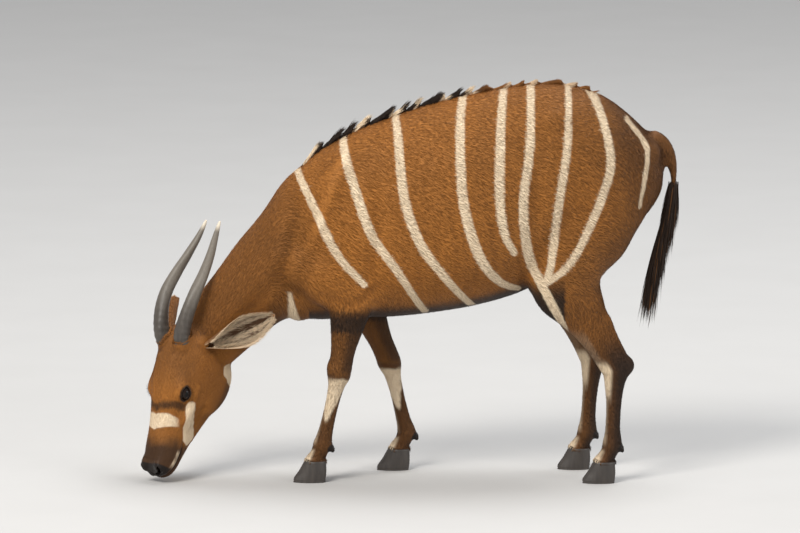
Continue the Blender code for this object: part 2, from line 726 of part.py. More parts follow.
def ear(side, name, parts):
    """A leaf-shaped cup, rolled to a tube at its root and open towards its rounded tip."""
    reach, across, opening = ear_axes(side)
    root = on_head(EAR_PLACE, side) + reach * 0.008
    steps, slices = 10, 7
    shape = bmesh.new()
    rows = []
    for k in range(steps + 1):
        share = k / steps
        width = EAR_WIDTH * (0.34 + 0.66 * math.sin(math.pi * min(share / 1.10 + 0.06, 1.0)) ** 0.8)
        if share > 0.55:
            width *= math.sqrt(max(1 - ((share - 0.55) / 0.462) ** 2, 0.004))
        roll = math.radians(150 - 92 * min(share / 0.60, 1.0) ** 0.8)
        bend = 0.020 * share ** 2
        radius = width / 2 / roll
        row = []
        for n in range(slices + 1):
            angle = roll * (2 * n / slices - 1)
            place = (root + reach * (share * EAR_LENGTH) + across * (radius * math.sin(angle))
                     + opening * (radius * (1 - math.cos(angle)) - bend))
            row.append(shape.verts.new(place))
        rows.append(row)
    for low, high in zip(rows, rows[1:]):
        for n in range(slices):
            shape.faces.new((low[n], low[n + 1], high[n + 1], high[n]))
    mesh = bpy.data.meshes.new(name)
    shape.to_mesh(mesh)
    shape.free()
    made = object_from(name, mesh, parts)
    solid = made.modifiers.new("thickness", "SOLIDIFY")
    solid.thickness = EAR_THICKNESS
    solid.offset = 0
    solid.use_rim = True
    baked = evaluated_mesh(made)
    bpy.data.objects.remove(made, do_unlink=True)
    return object_from(name, baked, parts)


def eye_axis(side):
    """The way the eye looks: out to the side, a little to the front and up."""
    return (HEAD.to_3x3() @ Vector((-side * 0.92, 0.30, 0.24))).normalized()


def eyes_and_lids(head, parts, cutters):
    """Sets an eyeball in each socket, under a lid bulge that is open in an almond."""
    name = head.name
    lids = []
    sockets = []
    openings = []
    balls = {}
    for side, word in ((LEFT, "left"), (RIGHT, "right")):
        centre = on_head(EYE_PLACE, side)
        turn = eye_axis(side).to_track_quat("Z", "X").to_matrix()
        lids.append(ball(centre, [EYE_RADIUS + LID_THICKNESS] * 3, turn, cutters, "lid", 20))
        lids.append(lid_rim(centre, side, cutters))
        sockets.append(ball(centre, [EYE_RADIUS + GAP] * 3, turn, cutters, "socket", 24))
        openings.append(almond(centre, side, cutters))
        balls[word] = ball(centre, [EYE_RADIUS] * 3, turn, parts, f"eye_{word}", 14)
    swollen = with_boolean(head, "UNION", lids, "swollen", cutters)
    remove([head])
    holes = openings + sockets + [mouth_slit(cutters)] + nostril(LEFT, cutters) + nostril(RIGHT, cutters)
    cut = with_boolean(swollen, "DIFFERENCE", holes, name, parts)
    cut.name = name
    remove(cutters.objects)
    return cut, balls


def eye_axes(side):
    """The way the eye looks, along its opening to the tear duct, and across the opening."""
    look = eye_axis(side)
    nose = HEAD.to_3x3() @ Vector((0, 1, -0.32))
    long = (nose - look * nose.dot(look)).normalized()
    return look, long, look.cross(long).normalized()


def almond_point(angle, side):
    """Where the lids' edge runs, from the eye's middle, before it is put at a depth."""
    look, long, tall = eye_axes(side)
    wide, high = math.cos(angle), math.sin(angle)
    stretch = 1.22 if wide > 0 else 1.0
    return long * (LID_LENGTH / 2 * stretch * wide) + tall * (LID_HEIGHT / 2 * math.copysign(abs(high) ** 1.25, high))


def almond(centre, side, cutters):
    """A lens-shaped rod along the way the eye looks."""
    look = eye_axis(side)
    rings = []
    for distance, grow in ((0.30 * EYE_RADIUS, 1.0), (3 * EYE_RADIUS, 1.25)):
        rings.append([centre + look * distance + grow * almond_point(2 * math.pi * k / 20, side) for k in range(20)])
    return loft(rings, cutters, "almond")


def lid_rim(centre, side, cutters):
    """A raised rim round the opening of the lids, as a bent tube."""
    look = eye_axis(side)
    count = 20
    rings = []
    for k in range(count):
        flat = almond_point(2 * math.pi * k / count, side) * 1.13
        reach = max(EYE_RADIUS ** 2 - flat.length_squared, (0.35 * EYE_RADIUS) ** 2) ** 0.5
        middle = flat + look * reach
        out, ahead = middle.normalized(), flat.cross(look).normalized()
        across = ahead.cross(out).normalized()
        ring = []
        for n in range(6):
            angle = 2 * math.pi * n / 6
            ring.append(centre + middle + (out * math.cos(angle) * 1.25 + across * math.sin(angle)) * LID_RIM)
        rings.append(ring)
    return ring_tube(rings, cutters, "lid_rim")


def ring_tube(rings, collection, name):
    """A closed tube whose last ring meets its first."""
    shape = bmesh.new()
    rows = [[shape.verts.new(point) for point in ring] for ring in rings]
    count = len(rows[0])
    for low, high in zip(rows, rows[1:] + rows[:1]):
        for k in range(count):
            shape.faces.new((low[k], low[(k + 1) % count], high[(k + 1) % count], high[k]))
    bmesh.ops.recalc_face_normals(shape, faces=shape.faces)
    mesh = bpy.data.meshes.new(name)
    shape.to_mesh(mesh)
    shape.free()
    return object_from(name, mesh, collection)


def lock(root, lie, face, length, width, thickness, droop, name, collection):
    """A flat, tapered lock of hair that leaves its root along `lie` and bends towards `droop`."""
    rings = []
    lie, droop = Vector(lie).normalized(), Vector(droop).normalized()
    for share, wide, thick in ((-0.30, 0.8, 0.9), (0.30, 1.0, 0.9), (0.72, 0.62, 0.6), (1.0, 0.10, 0.16)):
        bend = max(share, 0.0) ** 2
        centre = Vector(root) + lie * (share * length * (1 - 0.45 * bend)) + droop * (0.45 * bend * length)
        ahead = (lie * (1 - 0.9 * max(share, 0)) + droop * (0.9 * max(share, 0))).normalized()
        flat = Vector(face) - ahead * Vector(face).dot(ahead)
        flat.normalize()
        across = ahead.cross(flat).normalized()
        half, deep = wide * width / 2, thick * thickness / 2
        rings.append([centre + across * half, centre + flat * deep, centre - across * half, centre - flat * deep])
    return loft(rings, collection, name)


def trunk_top(x):
    """The height of the back above the floor at a place along the body."""
    stations = through(TRUNK, 120)
    return float(np.interp(x, stations[:, 0], stations[:, 1]))


def mane_locks(store):
    """The short crest of upright locks from the withers to the croup, in three close rows."""
    draw = random.Random(11)
    start, end = -0.455, 0.360
    count = 17
    for row, across in ((0, -0.009), (1, 0.009), (2, 0.0)):
        for k in range(count):
            share = (k + (0.5 if row == 2 else 0.0)) / count
            x = start + (end - start) * share
            tall = MANE_LENGTH * (1.0 - 0.52 * share) * draw.uniform(0.85, 1.12)
            slope = (trunk_top(x + 0.02) - trunk_top(x - 0.02)) / 0.04
            lie = Vector((0.62 + draw.uniform(-0.08, 0.08), across * 14 + draw.uniform(-0.08, 0.08), 0.78 + 0.6 * slope))
            root = Vector((x, across, trunk_top(x) - 0.004))
            lock(root, lie, (0, 1, 0), tall, 0.038, 0.0085, (1.0, across * 10, 0.25 + slope), "mane_lock", store)


def tail(torso, parts, cutters):
    """The tail's rod and its end tuft of long, overlapping locks."""
    read = through(TAIL_LINE, 16)
    lines = np.gradient(read[:, :3], axis=0)
    rings = []
    for row, line in zip(read, lines):
        ahead = Vector(line).normalized()
        back = ahead.cross(Vector((0, -1, 0))).normalized()
        side = back.cross(ahead).normalized()
        rings.append(oval(Vector(row[:3]), side, back, row[3], row[4], row[4], 8))
    rod = loft(rings, cutters, "rod")
    store = collection_named("tail_locks")
    draw = random.Random(5)
    count = 11
    for k in range(count):
        share = 0.45 + 0.50 * (k / (count - 1))
        place = Vector(through(TAIL_LINE, 101)[int(share * 100)][:3])
        angle = k * math.radians(137.5)
        out = Vector((0.55 * math.cos(angle), math.sin(angle), 0))
        length = TUFT_LENGTH * (0.50 + 0.42 * share) * draw.uniform(0.85, 1.05)
        lie = Vector((-0.12, 0, -1)) + out * 0.24
        droop = Vector((-0.02, 0, -1)) - out * 0.10
        lock(place + out * 0.004, lie, out, length, 0.034, 0.011, droop, "tail_lock", store)
    whole = fused(rod, store, "whole_tail", cutters)
    around = grown(torso, GAP, cutters)
    made = with_boolean(whole, "DIFFERENCE", [around], "tail", parts)
    remove([rod, whole, around])
    made.name = "tail"
    return made


def fused(source, store, name, parts):
    """The source with every piece of the store joined to it as one closed body."""
    copy = object_from(name, source.data.copy(), parts)
    copy.matrix_world = source.matrix_world
    union = copy.modifiers.new("union", "BOOLEAN")
    union.operation = "UNION"
    union.solver = "EXACT"
    union.operand_type = "COLLECTION"
    union.collection = store
    union.use_self = True
    mesh = evaluated_mesh(copy)
    bpy.data.objects.remove(copy, do_unlink=True)
    remove(store.objects)
    bpy.data.collections.remove(store)
    keep_largest(mesh)
    return object_from(name, mesh, parts)


def centre_on_floor(parts):
    """Moves the whole model so that the middle of its outline is over the origin."""
    corners = np.vstack([points_of(item.data) for item in parts.objects])
    low, high = corners.min(axis=0), corners.max(axis=0)
    shift = Matrix.Translation((-(low[0] + high[0]) / 2, -(low[1] + high[1]) / 2, -low[2]))
    for item in parts.objects:
        item.data.transform(shift)
    print("moved by", [round(v, 5) for v in shift.translation], "size", [round(float(v), 4) for v in high - low])


def main():
    clear_scene()
    parts = collection_named("bongo_antelope")
    cutters = collection_named("cutters")
    forms = collection_named("forms")

    flesh_pieces(forms)
    body = remeshed(joined(forms.objects, "flesh", cutters), VOXEL, "body", cutters)
    weight = body_weight(points_of(body.data))
    soften(body.data, weight ** 1.5, 60)
    relax(body.data, np.ones(len(weight)), 4)
    shape_lips(body.data)
    coarse = thinned(body, COARSE_FACES, "coarse", forms)
    middling = thinned(body, LEG_FACES, "middling", forms)
    fine = thinned(body, FINE_FACES, "fine", forms)
    remove([body])

    made = part_body(coarse, middling, fine, parts, cutters)
    remove([coarse, middling, fine])
    made["head"], balls = eyes_and_lids(made["head"], parts, cutters)

    coat, leg = material_named("coat", 0.8), material_named("leg", 0.8)
    horny, hoof = material_named("horn", 0.45), material_named("hoof", 0.5)
    for item in made.values():
        paint(item, coat)
    dark = material_named("eye", 0.1)
    for item in balls.values():
        paint(item, dark)
    for side, word in ((LEFT, "left"), (RIGHT, "right")):
        horn_piece = horn(side, f"horn_{word}_whole", cutters)
        seat = grown(horn_piece, 3 * GAP, cutters)
        head = with_boolean(made["head"], "DIFFERENCE", [seat], "head_cut", parts)
        remove([made["head"], seat])
        head.name = "head"
        made["head"] = head
        paint(head, coat)
        piece = object_from(f"horn_{word}", horn_piece.data, parts)
        remove([horn_piece])
        paint(piece, horny)
        ear_piece = ear(side, f"ear_{word}_whole", cutters)
        around = [grown(made["head"], GAP, cutters), grown(made["neck"], GAP, cutters)]
        trimmed = with_boolean(ear_piece, "DIFFERENCE", around, f"ear_{word}_trim", cutters)
        paint(trimmed, coat)
        parts.objects.link(trimmed)
        cutters.objects.unlink(trimmed)
        trimmed.name = f"ear_{word}"
        remove([ear_piece] + around)
        for legs, joints in (("fore", FORE_JOINTS[side]), ("hind", HIND_JOINTS[side])):
            paint(made[f"{legs}leg_{word}_lower"], leg)
            for across, half in ((-1, "a"), (1, "b")):
                paint(claw(joints, across, f"hoof_{legs}_{word}_{half}", parts), hoof)
    crest = collection_named("mane_locks")
    mane_locks(crest)
    bare = made["torso"]
    made["torso"] = fused(bare, crest, "torso", parts)
    remove([bare])
    made["torso"].name = "torso"
    paint(made["torso"], coat)
    paint(tail(made["torso"], parts, cutters), coat)
    remove(cutters.objects)
    remove(forms.objects)
    centre_on_floor(parts)


main()
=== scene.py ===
"""The bongo antelope as it looks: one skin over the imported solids, a striped coat, crest and tail tuft."""

import json
import math

import bmesh
import bpy
import numpy as np
from mathutils import Matrix, Vector
from mathutils.bvhtree import BVHTree

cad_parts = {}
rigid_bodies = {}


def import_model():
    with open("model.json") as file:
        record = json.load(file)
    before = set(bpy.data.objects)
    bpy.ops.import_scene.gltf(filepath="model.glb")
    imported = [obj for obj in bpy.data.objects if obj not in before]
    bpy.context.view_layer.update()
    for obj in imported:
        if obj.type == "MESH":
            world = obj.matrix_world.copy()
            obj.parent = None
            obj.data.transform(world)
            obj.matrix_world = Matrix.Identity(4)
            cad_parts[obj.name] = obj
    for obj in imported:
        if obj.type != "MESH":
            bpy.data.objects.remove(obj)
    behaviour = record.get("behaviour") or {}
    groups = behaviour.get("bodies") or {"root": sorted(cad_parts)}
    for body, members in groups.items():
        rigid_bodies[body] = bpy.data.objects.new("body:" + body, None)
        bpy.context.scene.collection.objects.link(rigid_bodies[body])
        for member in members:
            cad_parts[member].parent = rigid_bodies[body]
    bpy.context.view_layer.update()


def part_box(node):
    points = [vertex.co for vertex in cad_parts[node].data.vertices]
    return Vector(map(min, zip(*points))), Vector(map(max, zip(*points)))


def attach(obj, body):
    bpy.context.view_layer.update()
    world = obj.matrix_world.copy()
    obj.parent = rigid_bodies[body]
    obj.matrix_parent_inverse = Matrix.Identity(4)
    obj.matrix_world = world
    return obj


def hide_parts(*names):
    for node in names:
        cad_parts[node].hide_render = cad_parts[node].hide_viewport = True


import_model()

# Sizes shared with the solids, in metres
HEAD_LENGTH = 0.425
HEAD_PITCH = math.radians(64)
HEAD_YAW = math.radians(42)
HEAD_ROLL = math.radians(3)
POLL = Vector((-0.826, -0.046, 0.443))
HORN_BASE_RADIUS = 0.023
HORN_STEPS = 120
EAR_LENGTH = 0.215
EAR_WIDTH = 0.112
EYE_RADIUS = 0.0215
LID_LENGTH = 0.038
LID_HEIGHT = 0.0265
HOOF_LENGTH = 0.092
HOOF_WIDTH = 0.0345
HOOF_HEIGHT = 0.056
CLAW_GAP = 0.003
MANE_LENGTH = 0.062
TUFT_LENGTH = 0.21
LEFT = -1
RIGHT = 1
SIDES = {LEFT: "left", RIGHT: "right"}

# Unit vectors along X, Y and Z
X_AXIS = Vector((1, 0, 0))
Y_AXIS = Vector((0, 1, 0))
Z_AXIS = Vector((0, 0, 1))

# How fine the skin is, how deep the coat over it, and how many tufts each kind of hair has
VOXEL = 0.0045
PLAIN_FACES = 80000
COAT_DEPTH = 0.0034
TUFTS_IN_PIECE = 45000
MANE_TUFTS, MANE_QUICK = 4200, 600
TAIL_TUFTS, TAIL_QUICK = 1500, 300
CORONET_TUFTS = 540
HORN_PLACES = 240
EAR_TUFTS, EAR_FRINGE = 5200, 900
LASHES = 46

# The coat's tufts, in rows of length, width and spacing: on the trunk, on the lower legs, on the head,
# and how much less at the nose
TUFT_SIZES = (
    (0.0165, 0.0115, 0.0095, 0.0055),
    (0.0025, 0.0020, 0.0016, 0.0006),
    (0.0032, 0.0028, 0.0021, 0.0005),
)

# Trunk stations from the breast to the tail: place along X, top, bottom, widest level, half width
TRUNK = (
    (-0.530, 0.780, 0.570, 0.670, 0.050),
    (-0.495, 0.868, 0.480, 0.670, 0.105),
    (-0.430, 0.945, 0.458, 0.670, 0.146),
    (-0.320, 1.012, 0.464, 0.680, 0.176),
    (-0.190, 1.064, 0.468, 0.695, 0.208),
    (-0.060, 1.104, 0.483, 0.715, 0.232),
    (0.070, 1.133, 0.508, 0.740, 0.240),
    (0.190, 1.152, 0.548, 0.790, 0.224),
    (0.300, 1.152, 0.610, 0.860, 0.202),
    (0.400, 1.122, 0.660, 0.890, 0.188),
    (0.480, 1.068, 0.710, 0.890, 0.162),
    (0.550, 0.996, 0.780, 0.885, 0.118),
    (0.588, 0.930, 0.840, 0.880, 0.050),
)

# Neck stations: crest (x, z), throat (x, z), bend to the side, half width
NECK = (
    (-0.400, 0.955, -0.400, 0.500, 0.000, 0.118),
    (-0.508, 0.878, -0.475, 0.470, 0.000, 0.114),
    (-0.586, 0.768, -0.530, 0.448, 0.000, 0.099),
    (-0.650, 0.690, -0.586, 0.400, 0.002, 0.086),
    (-0.703, 0.616, -0.636, 0.356, 0.004, 0.078),
    (-0.752, 0.552, -0.678, 0.320, 0.007, 0.072),
    (-0.796, 0.490, -0.718, 0.298, 0.010, 0.067),
    (-0.830, 0.444, -0.762, 0.298, 0.012, 0.056),
)

# Head stations from the poll to the nose: place along the nose, top, bottom, widest level, half width
SKULL = (
    (-0.040, -0.050, -0.130, -0.088, 0.048),
    (-0.015, -0.014, -0.176, -0.082, 0.069),
    (0.030, 0.006, -0.218, -0.080, 0.079),
    (0.080, 0.012, -0.240, -0.080, 0.084),
    (0.130, 0.010, -0.238, -0.080, 0.082),
    (0.180, 0.000, -0.216, -0.082, 0.073),
    (0.230, -0.016, -0.198, -0.086, 0.061),
    (0.290, -0.032, -0.174, -0.090, 0.054),
    (0.345, -0.045, -0.155, -0.093, 0.054),
    (0.385, -0.056, -0.142, -0.096, 0.051),
    (0.410, -0.069, -0.131, -0.098, 0.038),
    (0.422, -0.083, -0.116, -0.099, 0.016),
)

# Places on the head: to the side, along the nose, above the brow line
EYE_PLACE = Vector((0.0590, 0.178, -0.052))
EAR_PLACE = Vector((0.077, 0.022, -0.068))
EAR_REACH = {LEFT: Vector((0.84, -0.50, -0.20)), RIGHT: Vector((0.66, -0.66, -0.36))}
MOUTH_CORNER = 0.318
MOUTH_LEVEL = -0.116
MOUTH_RISE = 0.010
NOSTRIL_LINE = ((0.0150, -0.0880), (0.0220, -0.0850), (0.0300, -0.0790), (0.0345, -0.0700), (0.0335, -0.0640))

# Left horn: points of its centre line on the head, root to tip
HORN_LINE = (
    (0.036, 0.058, -0.030),
    (0.041, 0.026, 0.008),
    (0.051, -0.032, 0.024),
    (0.058, -0.095, 0.024),
    (0.057, -0.160, 0.012),
    (0.048, -0.222, 0.000),
    (0.037, -0.280, -0.008),
    (0.030, -0.335, -0.012),
)

# Joints of each leg (x, y, z), from the body down to the coronet
FORE_JOINTS = {
    LEFT: ((-0.322, -0.118, 0.640), (-0.318, -0.122, 0.535), (-0.352, -0.112, 0.322),
           (-0.402, -0.108, 0.108), (-0.424, -0.107, HOOF_HEIGHT)),
    RIGHT: ((-0.322, 0.118, 0.640), (-0.300, 0.122, 0.535), (-0.208, 0.112, 0.318),
            (-0.158, 0.106, 0.108), (-0.182, 0.105, HOOF_HEIGHT)),
}
HIND_JOINTS = {
    LEFT: ((0.345, -0.118, 0.800), (0.288, -0.140, 0.610), (0.446, -0.116, 0.330),
           (0.438, -0.118, 0.110), (0.414, -0.120, HOOF_HEIGHT)),
    RIGHT: ((0.345, 0.118, 0.800), (0.272, 0.140, 0.610), (0.386, 0.114, 0.330),
            (0.370, 0.116, 0.110), (0.346, 0.118, HOOF_HEIGHT)),
}

# Leg stations: which stretch between joints, how far along it, half depth fore and aft, half width
FORE_STATIONS = (
    (0, 0.00, 0.080, 0.052), (1, 0.00, 0.070, 0.047), (1, 0.35, 0.054, 0.040), (1, 0.70, 0.037, 0.031),
    (1, 0.95, 0.035, 0.033), (2, 0.07, 0.034, 0.032), (2, 0.22, 0.024, 0.023), (2, 0.55, 0.0205, 0.019),
    (2, 0.85, 0.023, 0.022), (3, 0.00, 0.029, 0.027), (3, 0.50, 0.024, 0.026), (3, 1.00, 0.034, 0.033),
)
HIND_STATIONS = (
    (0, 0.00, 0.140, 0.074), (0, 0.60, 0.128, 0.070), (1, 0.10, 0.112, 0.060), (1, 0.35, 0.082, 0.048),
    (1, 0.60, 0.056, 0.036), (1, 0.82, 0.043, 0.030), (2, 0.00, 0.041, 0.032), (2, 0.18, 0.031, 0.027),
    (2, 0.45, 0.0235, 0.0205), (2, 0.80, 0.023, 0.021), (3, 0.00, 0.030, 0.028), (3, 0.50, 0.024, 0.027),
    (3, 1.00, 0.035, 0.034),
)

# Muscles and bones that show, each side: centre (x, y, z), radii, lean about Y in degrees
BULGES = (
    ("shoulder_blade", (-0.360, 0.100, 0.775), (0.090, 0.052, 0.180), 14),
    ("shoulder_point", (-0.462, 0.090, 0.632), (0.060, 0.058, 0.080), 0),
    ("upper_arm", (-0.362, 0.118, 0.600), (0.115, 0.056, 0.100), 15),
    ("breast", (-0.470, 0.030, 0.545), (0.060, 0.070, 0.090), 0),
    ("hip", (0.262, 0.118, 1.045), (0.090, 0.045, 0.055), 0),
    ("thigh", (0.362, 0.108, 0.800), (0.160, 0.084, 0.215), 12),
    ("buttock", (0.456, 0.080, 0.835), (0.098, 0.062, 0.155), 14),
    ("stifle", (0.270, 0.132, 0.640), (0.070, 0.050, 0.090), 20),
    ("pin_bone", (0.540, 0.052, 0.950), (0.045, 0.036, 0.045), 0),
)

# Forms of the head, each side, in the head's own frame: centre, radii
HEAD_BULGES = (
    ("brow", (0.059, 0.164, -0.034), (0.022, 0.040, 0.020)),
    ("cheekbone", (0.054, 0.206, -0.088), (0.018, 0.064, 0.019)),
    ("cheek", (0.047, 0.112, -0.146), (0.031, 0.104, 0.074)),
    ("ear_root", (0.060, 0.020, -0.064), (0.026, 0.030, 0.032)),
    ("horn_root", (0.037, 0.040, -0.012), (0.029, 0.034, 0.028)),
    ("nostril_wing", (0.027, 0.392, -0.076), (0.019, 0.027, 0.022)),
    ("lip", (0.030, 0.358, -0.110), (0.022, 0.050, 0.021)),
)

# Tail stations: place, half width, half depth
TAIL_LINE = (
    (0.545, 0.000, 0.998, 0.036, 0.030), (0.588, 0.000, 0.975, 0.030, 0.026),
    (0.612, -0.002, 0.925, 0.024, 0.020), (0.616, -0.006, 0.860, 0.019, 0.016),
    (0.604, -0.010, 0.790, 0.016, 0.013), (0.584, -0.013, 0.725, 0.014, 0.011),
    (0.566, -0.014, 0.665, 0.012, 0.010), (0.556, -0.014, 0.610, 0.008, 0.007),
)

# White stripes of the flank, each side: half width, then points (x, z) from the back down
STRIPES = (
    (0.0125, ((-0.448, 0.985), (-0.481, 0.924), (-0.425, 0.806), (-0.360, 0.676), (-0.280, 0.585))),
    (0.0130, ((-0.305, 1.080), (-0.342, 0.995), (-0.304, 0.855), (-0.258, 0.732), (-0.183, 0.627),
              (-0.105, 0.497))),
    (0.0130, ((-0.202, 1.120), (-0.183, 1.013), (-0.165, 0.844), (-0.119, 0.714), (-0.052, 0.619),
              (0.045, 0.497))),
    (0.0135, ((0.017, 1.170), (-0.002, 1.061), (0.002, 0.863), (0.031, 0.732), (0.069, 0.646),
              (0.115, 0.592), (0.165, 0.565))),
    (0.0125, ((0.129, 1.180), (0.115, 1.061), (0.110, 0.863), (0.123, 0.749), (0.152, 0.685))),
    (0.0135, ((0.202, 1.180), (0.198, 0.995), (0.179, 0.825), (0.194, 0.676), (0.235, 0.581),
              (0.286, 0.480), (0.318, 0.405))),
    (0.0110, ((0.310, 1.170), (0.306, 0.995), (0.281, 0.825), (0.258, 0.646), (0.238, 0.590))),
    (0.0115, ((0.310, 1.150), (0.352, 1.152), (0.398, 1.090), (0.431, 0.955), (0.413, 0.863),
              (0.367, 0.749), (0.310, 0.646), (0.240, 0.588))),
    (0.0090, ((0.478, 1.055), (0.528, 0.990), (0.5375, 0.939), (0.515, 0.806))),
)


# The frame of the body and of the head

def head_frame():
    """The matrix from the head's own frame (side, nose, brow) to the body's."""
    pitch, yaw = HEAD_PITCH, HEAD_YAW
    nose = Vector((-math.cos(pitch) * math.cos(yaw), -math.cos(pitch) * math.sin(yaw), -math.sin(pitch)))
    brow = Vector((-math.sin(pitch) * math.cos(yaw), -math.sin(pitch) * math.sin(yaw), math.cos(pitch)))
    nose = Matrix.Rotation(HEAD_ROLL, 3, brow) @ nose
    side = brow.cross(nose)
    made = Matrix((side, nose, brow)).transposed().to_4x4()
    made.translation = POLL
    return made


HEAD = head_frame()
HEAD_TURN = HEAD.to_3x3()


def on_head(place, side=LEFT):
    """A place on the head; the head's side axis points to its left."""
    across, along, above = place
    return HEAD @ Vector((-side * across, along, above))


def to_head(points):
    """Points in the head's own frame."""
    back = np.array(HEAD.inverted())
    return points @ back[:3, :3].T + back[:3, 3]


def body_shift():
    """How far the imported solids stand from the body's own frame, read from one claw of the left forefoot."""
    low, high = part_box("hoof_fore_left_a")
    coronet = FORE_JOINTS[LEFT][4]
    front = coronet[0] - 0.016 - HOOF_LENGTH / 2
    middle = coronet[1] - (HOOF_WIDTH + CLAW_GAP) / 2
    return Vector((low.x - front, (low.y + high.y) / 2 - middle, low.z))


SHIFT = body_shift()


# Meshes and objects

def collection_named(name):
    made = bpy.data.collections.new(name)
    bpy.context.scene.collection.children.link(made)
    return made


BODY = collection_named("bongo_antelope")
WORK = collection_named("work")


def object_from(name, mesh, collection):
    made = bpy.data.objects.new(name, mesh)
    collection.objects.link(made)
    return made


def object_of_shape(shape, name, collection):
    """An object made of a shape, which is then cleared away."""
    mesh = bpy.data.meshes.new(name)
    shape.to_mesh(mesh)
    shape.free()
    return object_from(name, mesh, collection)


def replaced(item, name, collection):
    """An object made of another with its modifiers applied; the other one goes."""
    bpy.context.view_layer.update()
    graph = bpy.context.evaluated_depsgraph_get()
    mesh = bpy.data.meshes.new_from_object(item.evaluated_get(graph))
    bpy.data.objects.remove(item, do_unlink=True)
    return object_from(name, mesh, collection)


def column(rows, name, width, kind=np.float32):
    """One value of every row in a mesh's table, as an array that many numbers wide."""
    values = np.empty(len(rows) * width, kind)
    rows.foreach_get(name, values)
    return values.reshape(-1, width)


def points_of(mesh):
    return column(mesh.vertices, "co", 3).astype(float)


def normals_of(mesh):
    return column(mesh.vertex_normals, "vector", 3).astype(float)


def put_points(mesh, points):
    mesh.vertices.foreach_set("co", points.astype(np.float32).ravel())
    mesh.update()


def mesh_from_arrays(name, points, triangles):
    """A smooth-shaded mesh straight from arrays of points and of triangles."""
    mesh = bpy.data.meshes.new(name)
    mesh.vertices.add(len(points))
    mesh.vertices.foreach_set("co", points.astype(np.float32).ravel())
    mesh.loops.add(triangles.size)
    mesh.loops.foreach_set("vertex_index", triangles.astype(np.int32).ravel())
    mesh.polygons.add(len(triangles))
    mesh.polygons.foreach_set("loop_start", np.arange(0, triangles.size, 3, dtype=np.int32))
    mesh.update(calc_edges=True)
    mesh.shade_smooth()
    return mesh


def add_marks(mesh, marks):
    """The coat's markings on each vertex: how pale, how dark, how deep a brown, and how bare."""
    layer = mesh.color_attributes.new(name="marks", type="FLOAT_COLOR", domain="POINT")
    layer.data.foreach_set("color", marks.astype(np.float32).ravel())


def blend(low, high, values):
    """0 below the first value, 1 above the second, smooth between; falls instead if low is above high."""
    t = np.clip((values - low) / (high - low), 0, 1)
    return t * t * (3 - 2 * t)


def hump(values, middle, width):
    """1 at the middle value, and down to nothing about two widths away."""
    return np.exp(-((values - middle) / width) ** 2)


def through(rows, steps):
    """The rows of a station table read at even steps along a smooth curve through them."""
    rows = np.array(rows, float)
    padded = np.vstack([2 * rows[0] - rows[1], rows, 2 * rows[-1] - rows[-2]])
    read = []
    for at in np.linspace(0, len(rows) - 1, steps):
        first = min(int(at), len(rows) - 2)
        t = at - first
        a, b, c, d = padded[first:first + 4]
        read.append(0.5 * (2 * b + (c - a) * t + (2 * a - 5 * b + 4 * c - d) * t * t
                           + (3 * b - a - 3 * c + d) * t ** 3))
    return np.array(read)


def distance_to(points, line):
    """How far each point is from a line of straight stretches, and how far along it the nearest place is."""
    line = np.array(line, float)
    best = np.full(len(points), 9.0)
    share = np.zeros(len(points))
    for k, (start, end) in enumerate(zip(line, line[1:])):
        stretch = end - start
        t = np.clip((points - start) @ stretch / (stretch @ stretch), 0, 1)
        far = np.linalg.norm(points - start - t[:, None] * stretch, axis=1)
        nearer = far < best
        best[nearer] = far[nearer]
        share[nearer] = (k + t[nearer]) / (len(line) - 1)
    return best, share


def unit(vectors):
    return vectors / np.maximum(np.linalg.norm(vectors, axis=-1, keepdims=True), 1e-9)


def ripple(points, scale, seed):
    """A smooth, random-looking value from -1 to 1 that changes over about 1 / scale metres."""
    draw = np.random.default_rng(seed)
    total = np.zeros(len(points))
    for _ in range(6):
        wave = draw.normal(size=3) * scale * 2.2
        total += np.sin(points @ wave + draw.uniform(0, 6.28))
    return total / 6 * 1.6


def oval(centre, side, up, half_width, rise, drop, points, power=2.0):
    """A ring whose upper half rises by one amount and whose lower half drops by another."""
    ring = []
    for k in range(points):
        angle = 2 * math.pi * k / points
        across, high = math.cos(angle), math.sin(angle)
        across = math.copysign(abs(across) ** (2 / power), across)
        high = math.copysign(abs(high) ** (2 / power), high)
        ring.append(centre + side * (half_width * across) + up * ((rise if high > 0 else drop) * high))
    return ring


def loft(rings, name="loft", collection=WORK):
    """A skin over rings of equal count, with flat caps."""
    shape = bmesh.new()
    rows = [[shape.verts.new(point) for point in ring] for ring in rings]
    count = len(rows[0])
    for low, high in zip(rows, rows[1:]):
        for k in range(count):
            shape.faces.new((low[k], low[(k + 1) % count], high[(k + 1) % count], high[k]))
    shape.faces.new(rows[0])
    shape.faces.new(rows[-1])
    bmesh.ops.recalc_face_normals(shape, faces=shape.faces)
    made = object_of_shape(shape, name, collection)
    made.data.shade_smooth()
    return made


def ball(centre, radii, turn=Matrix.Identity(3), name="ball", segments=32):
    """An ellipsoid whose own axes are turned by a matrix."""
    shape = bmesh.new()
    place = Matrix.Translation(centre) @ turn.to_4x4() @ Matrix.Diagonal((*radii, 1.0))
    bmesh.ops.create_uvsphere(shape, u_segments=segments, v_segments=segments // 2, radius=1.0, matrix=place)
    return object_of_shape(shape, name, WORK)


# The forms under the skin

def tube_rings(rows, beside, steps, points):
    """Rings along a leg or the tail; each row has a place and the half width and half depth there."""
    rows = through(rows, steps)
    rings = []
    for row, line in zip(rows, np.gradient(rows[:, :3], axis=0)):
        ahead = Vector(line).normalized()
        up = ahead.cross(beside).normalized()
        side = up.cross(ahead).normalized()
        rings.append(oval(Vector(row[:3]), side, up, row[3], row[4], row[4], points))
    return rings


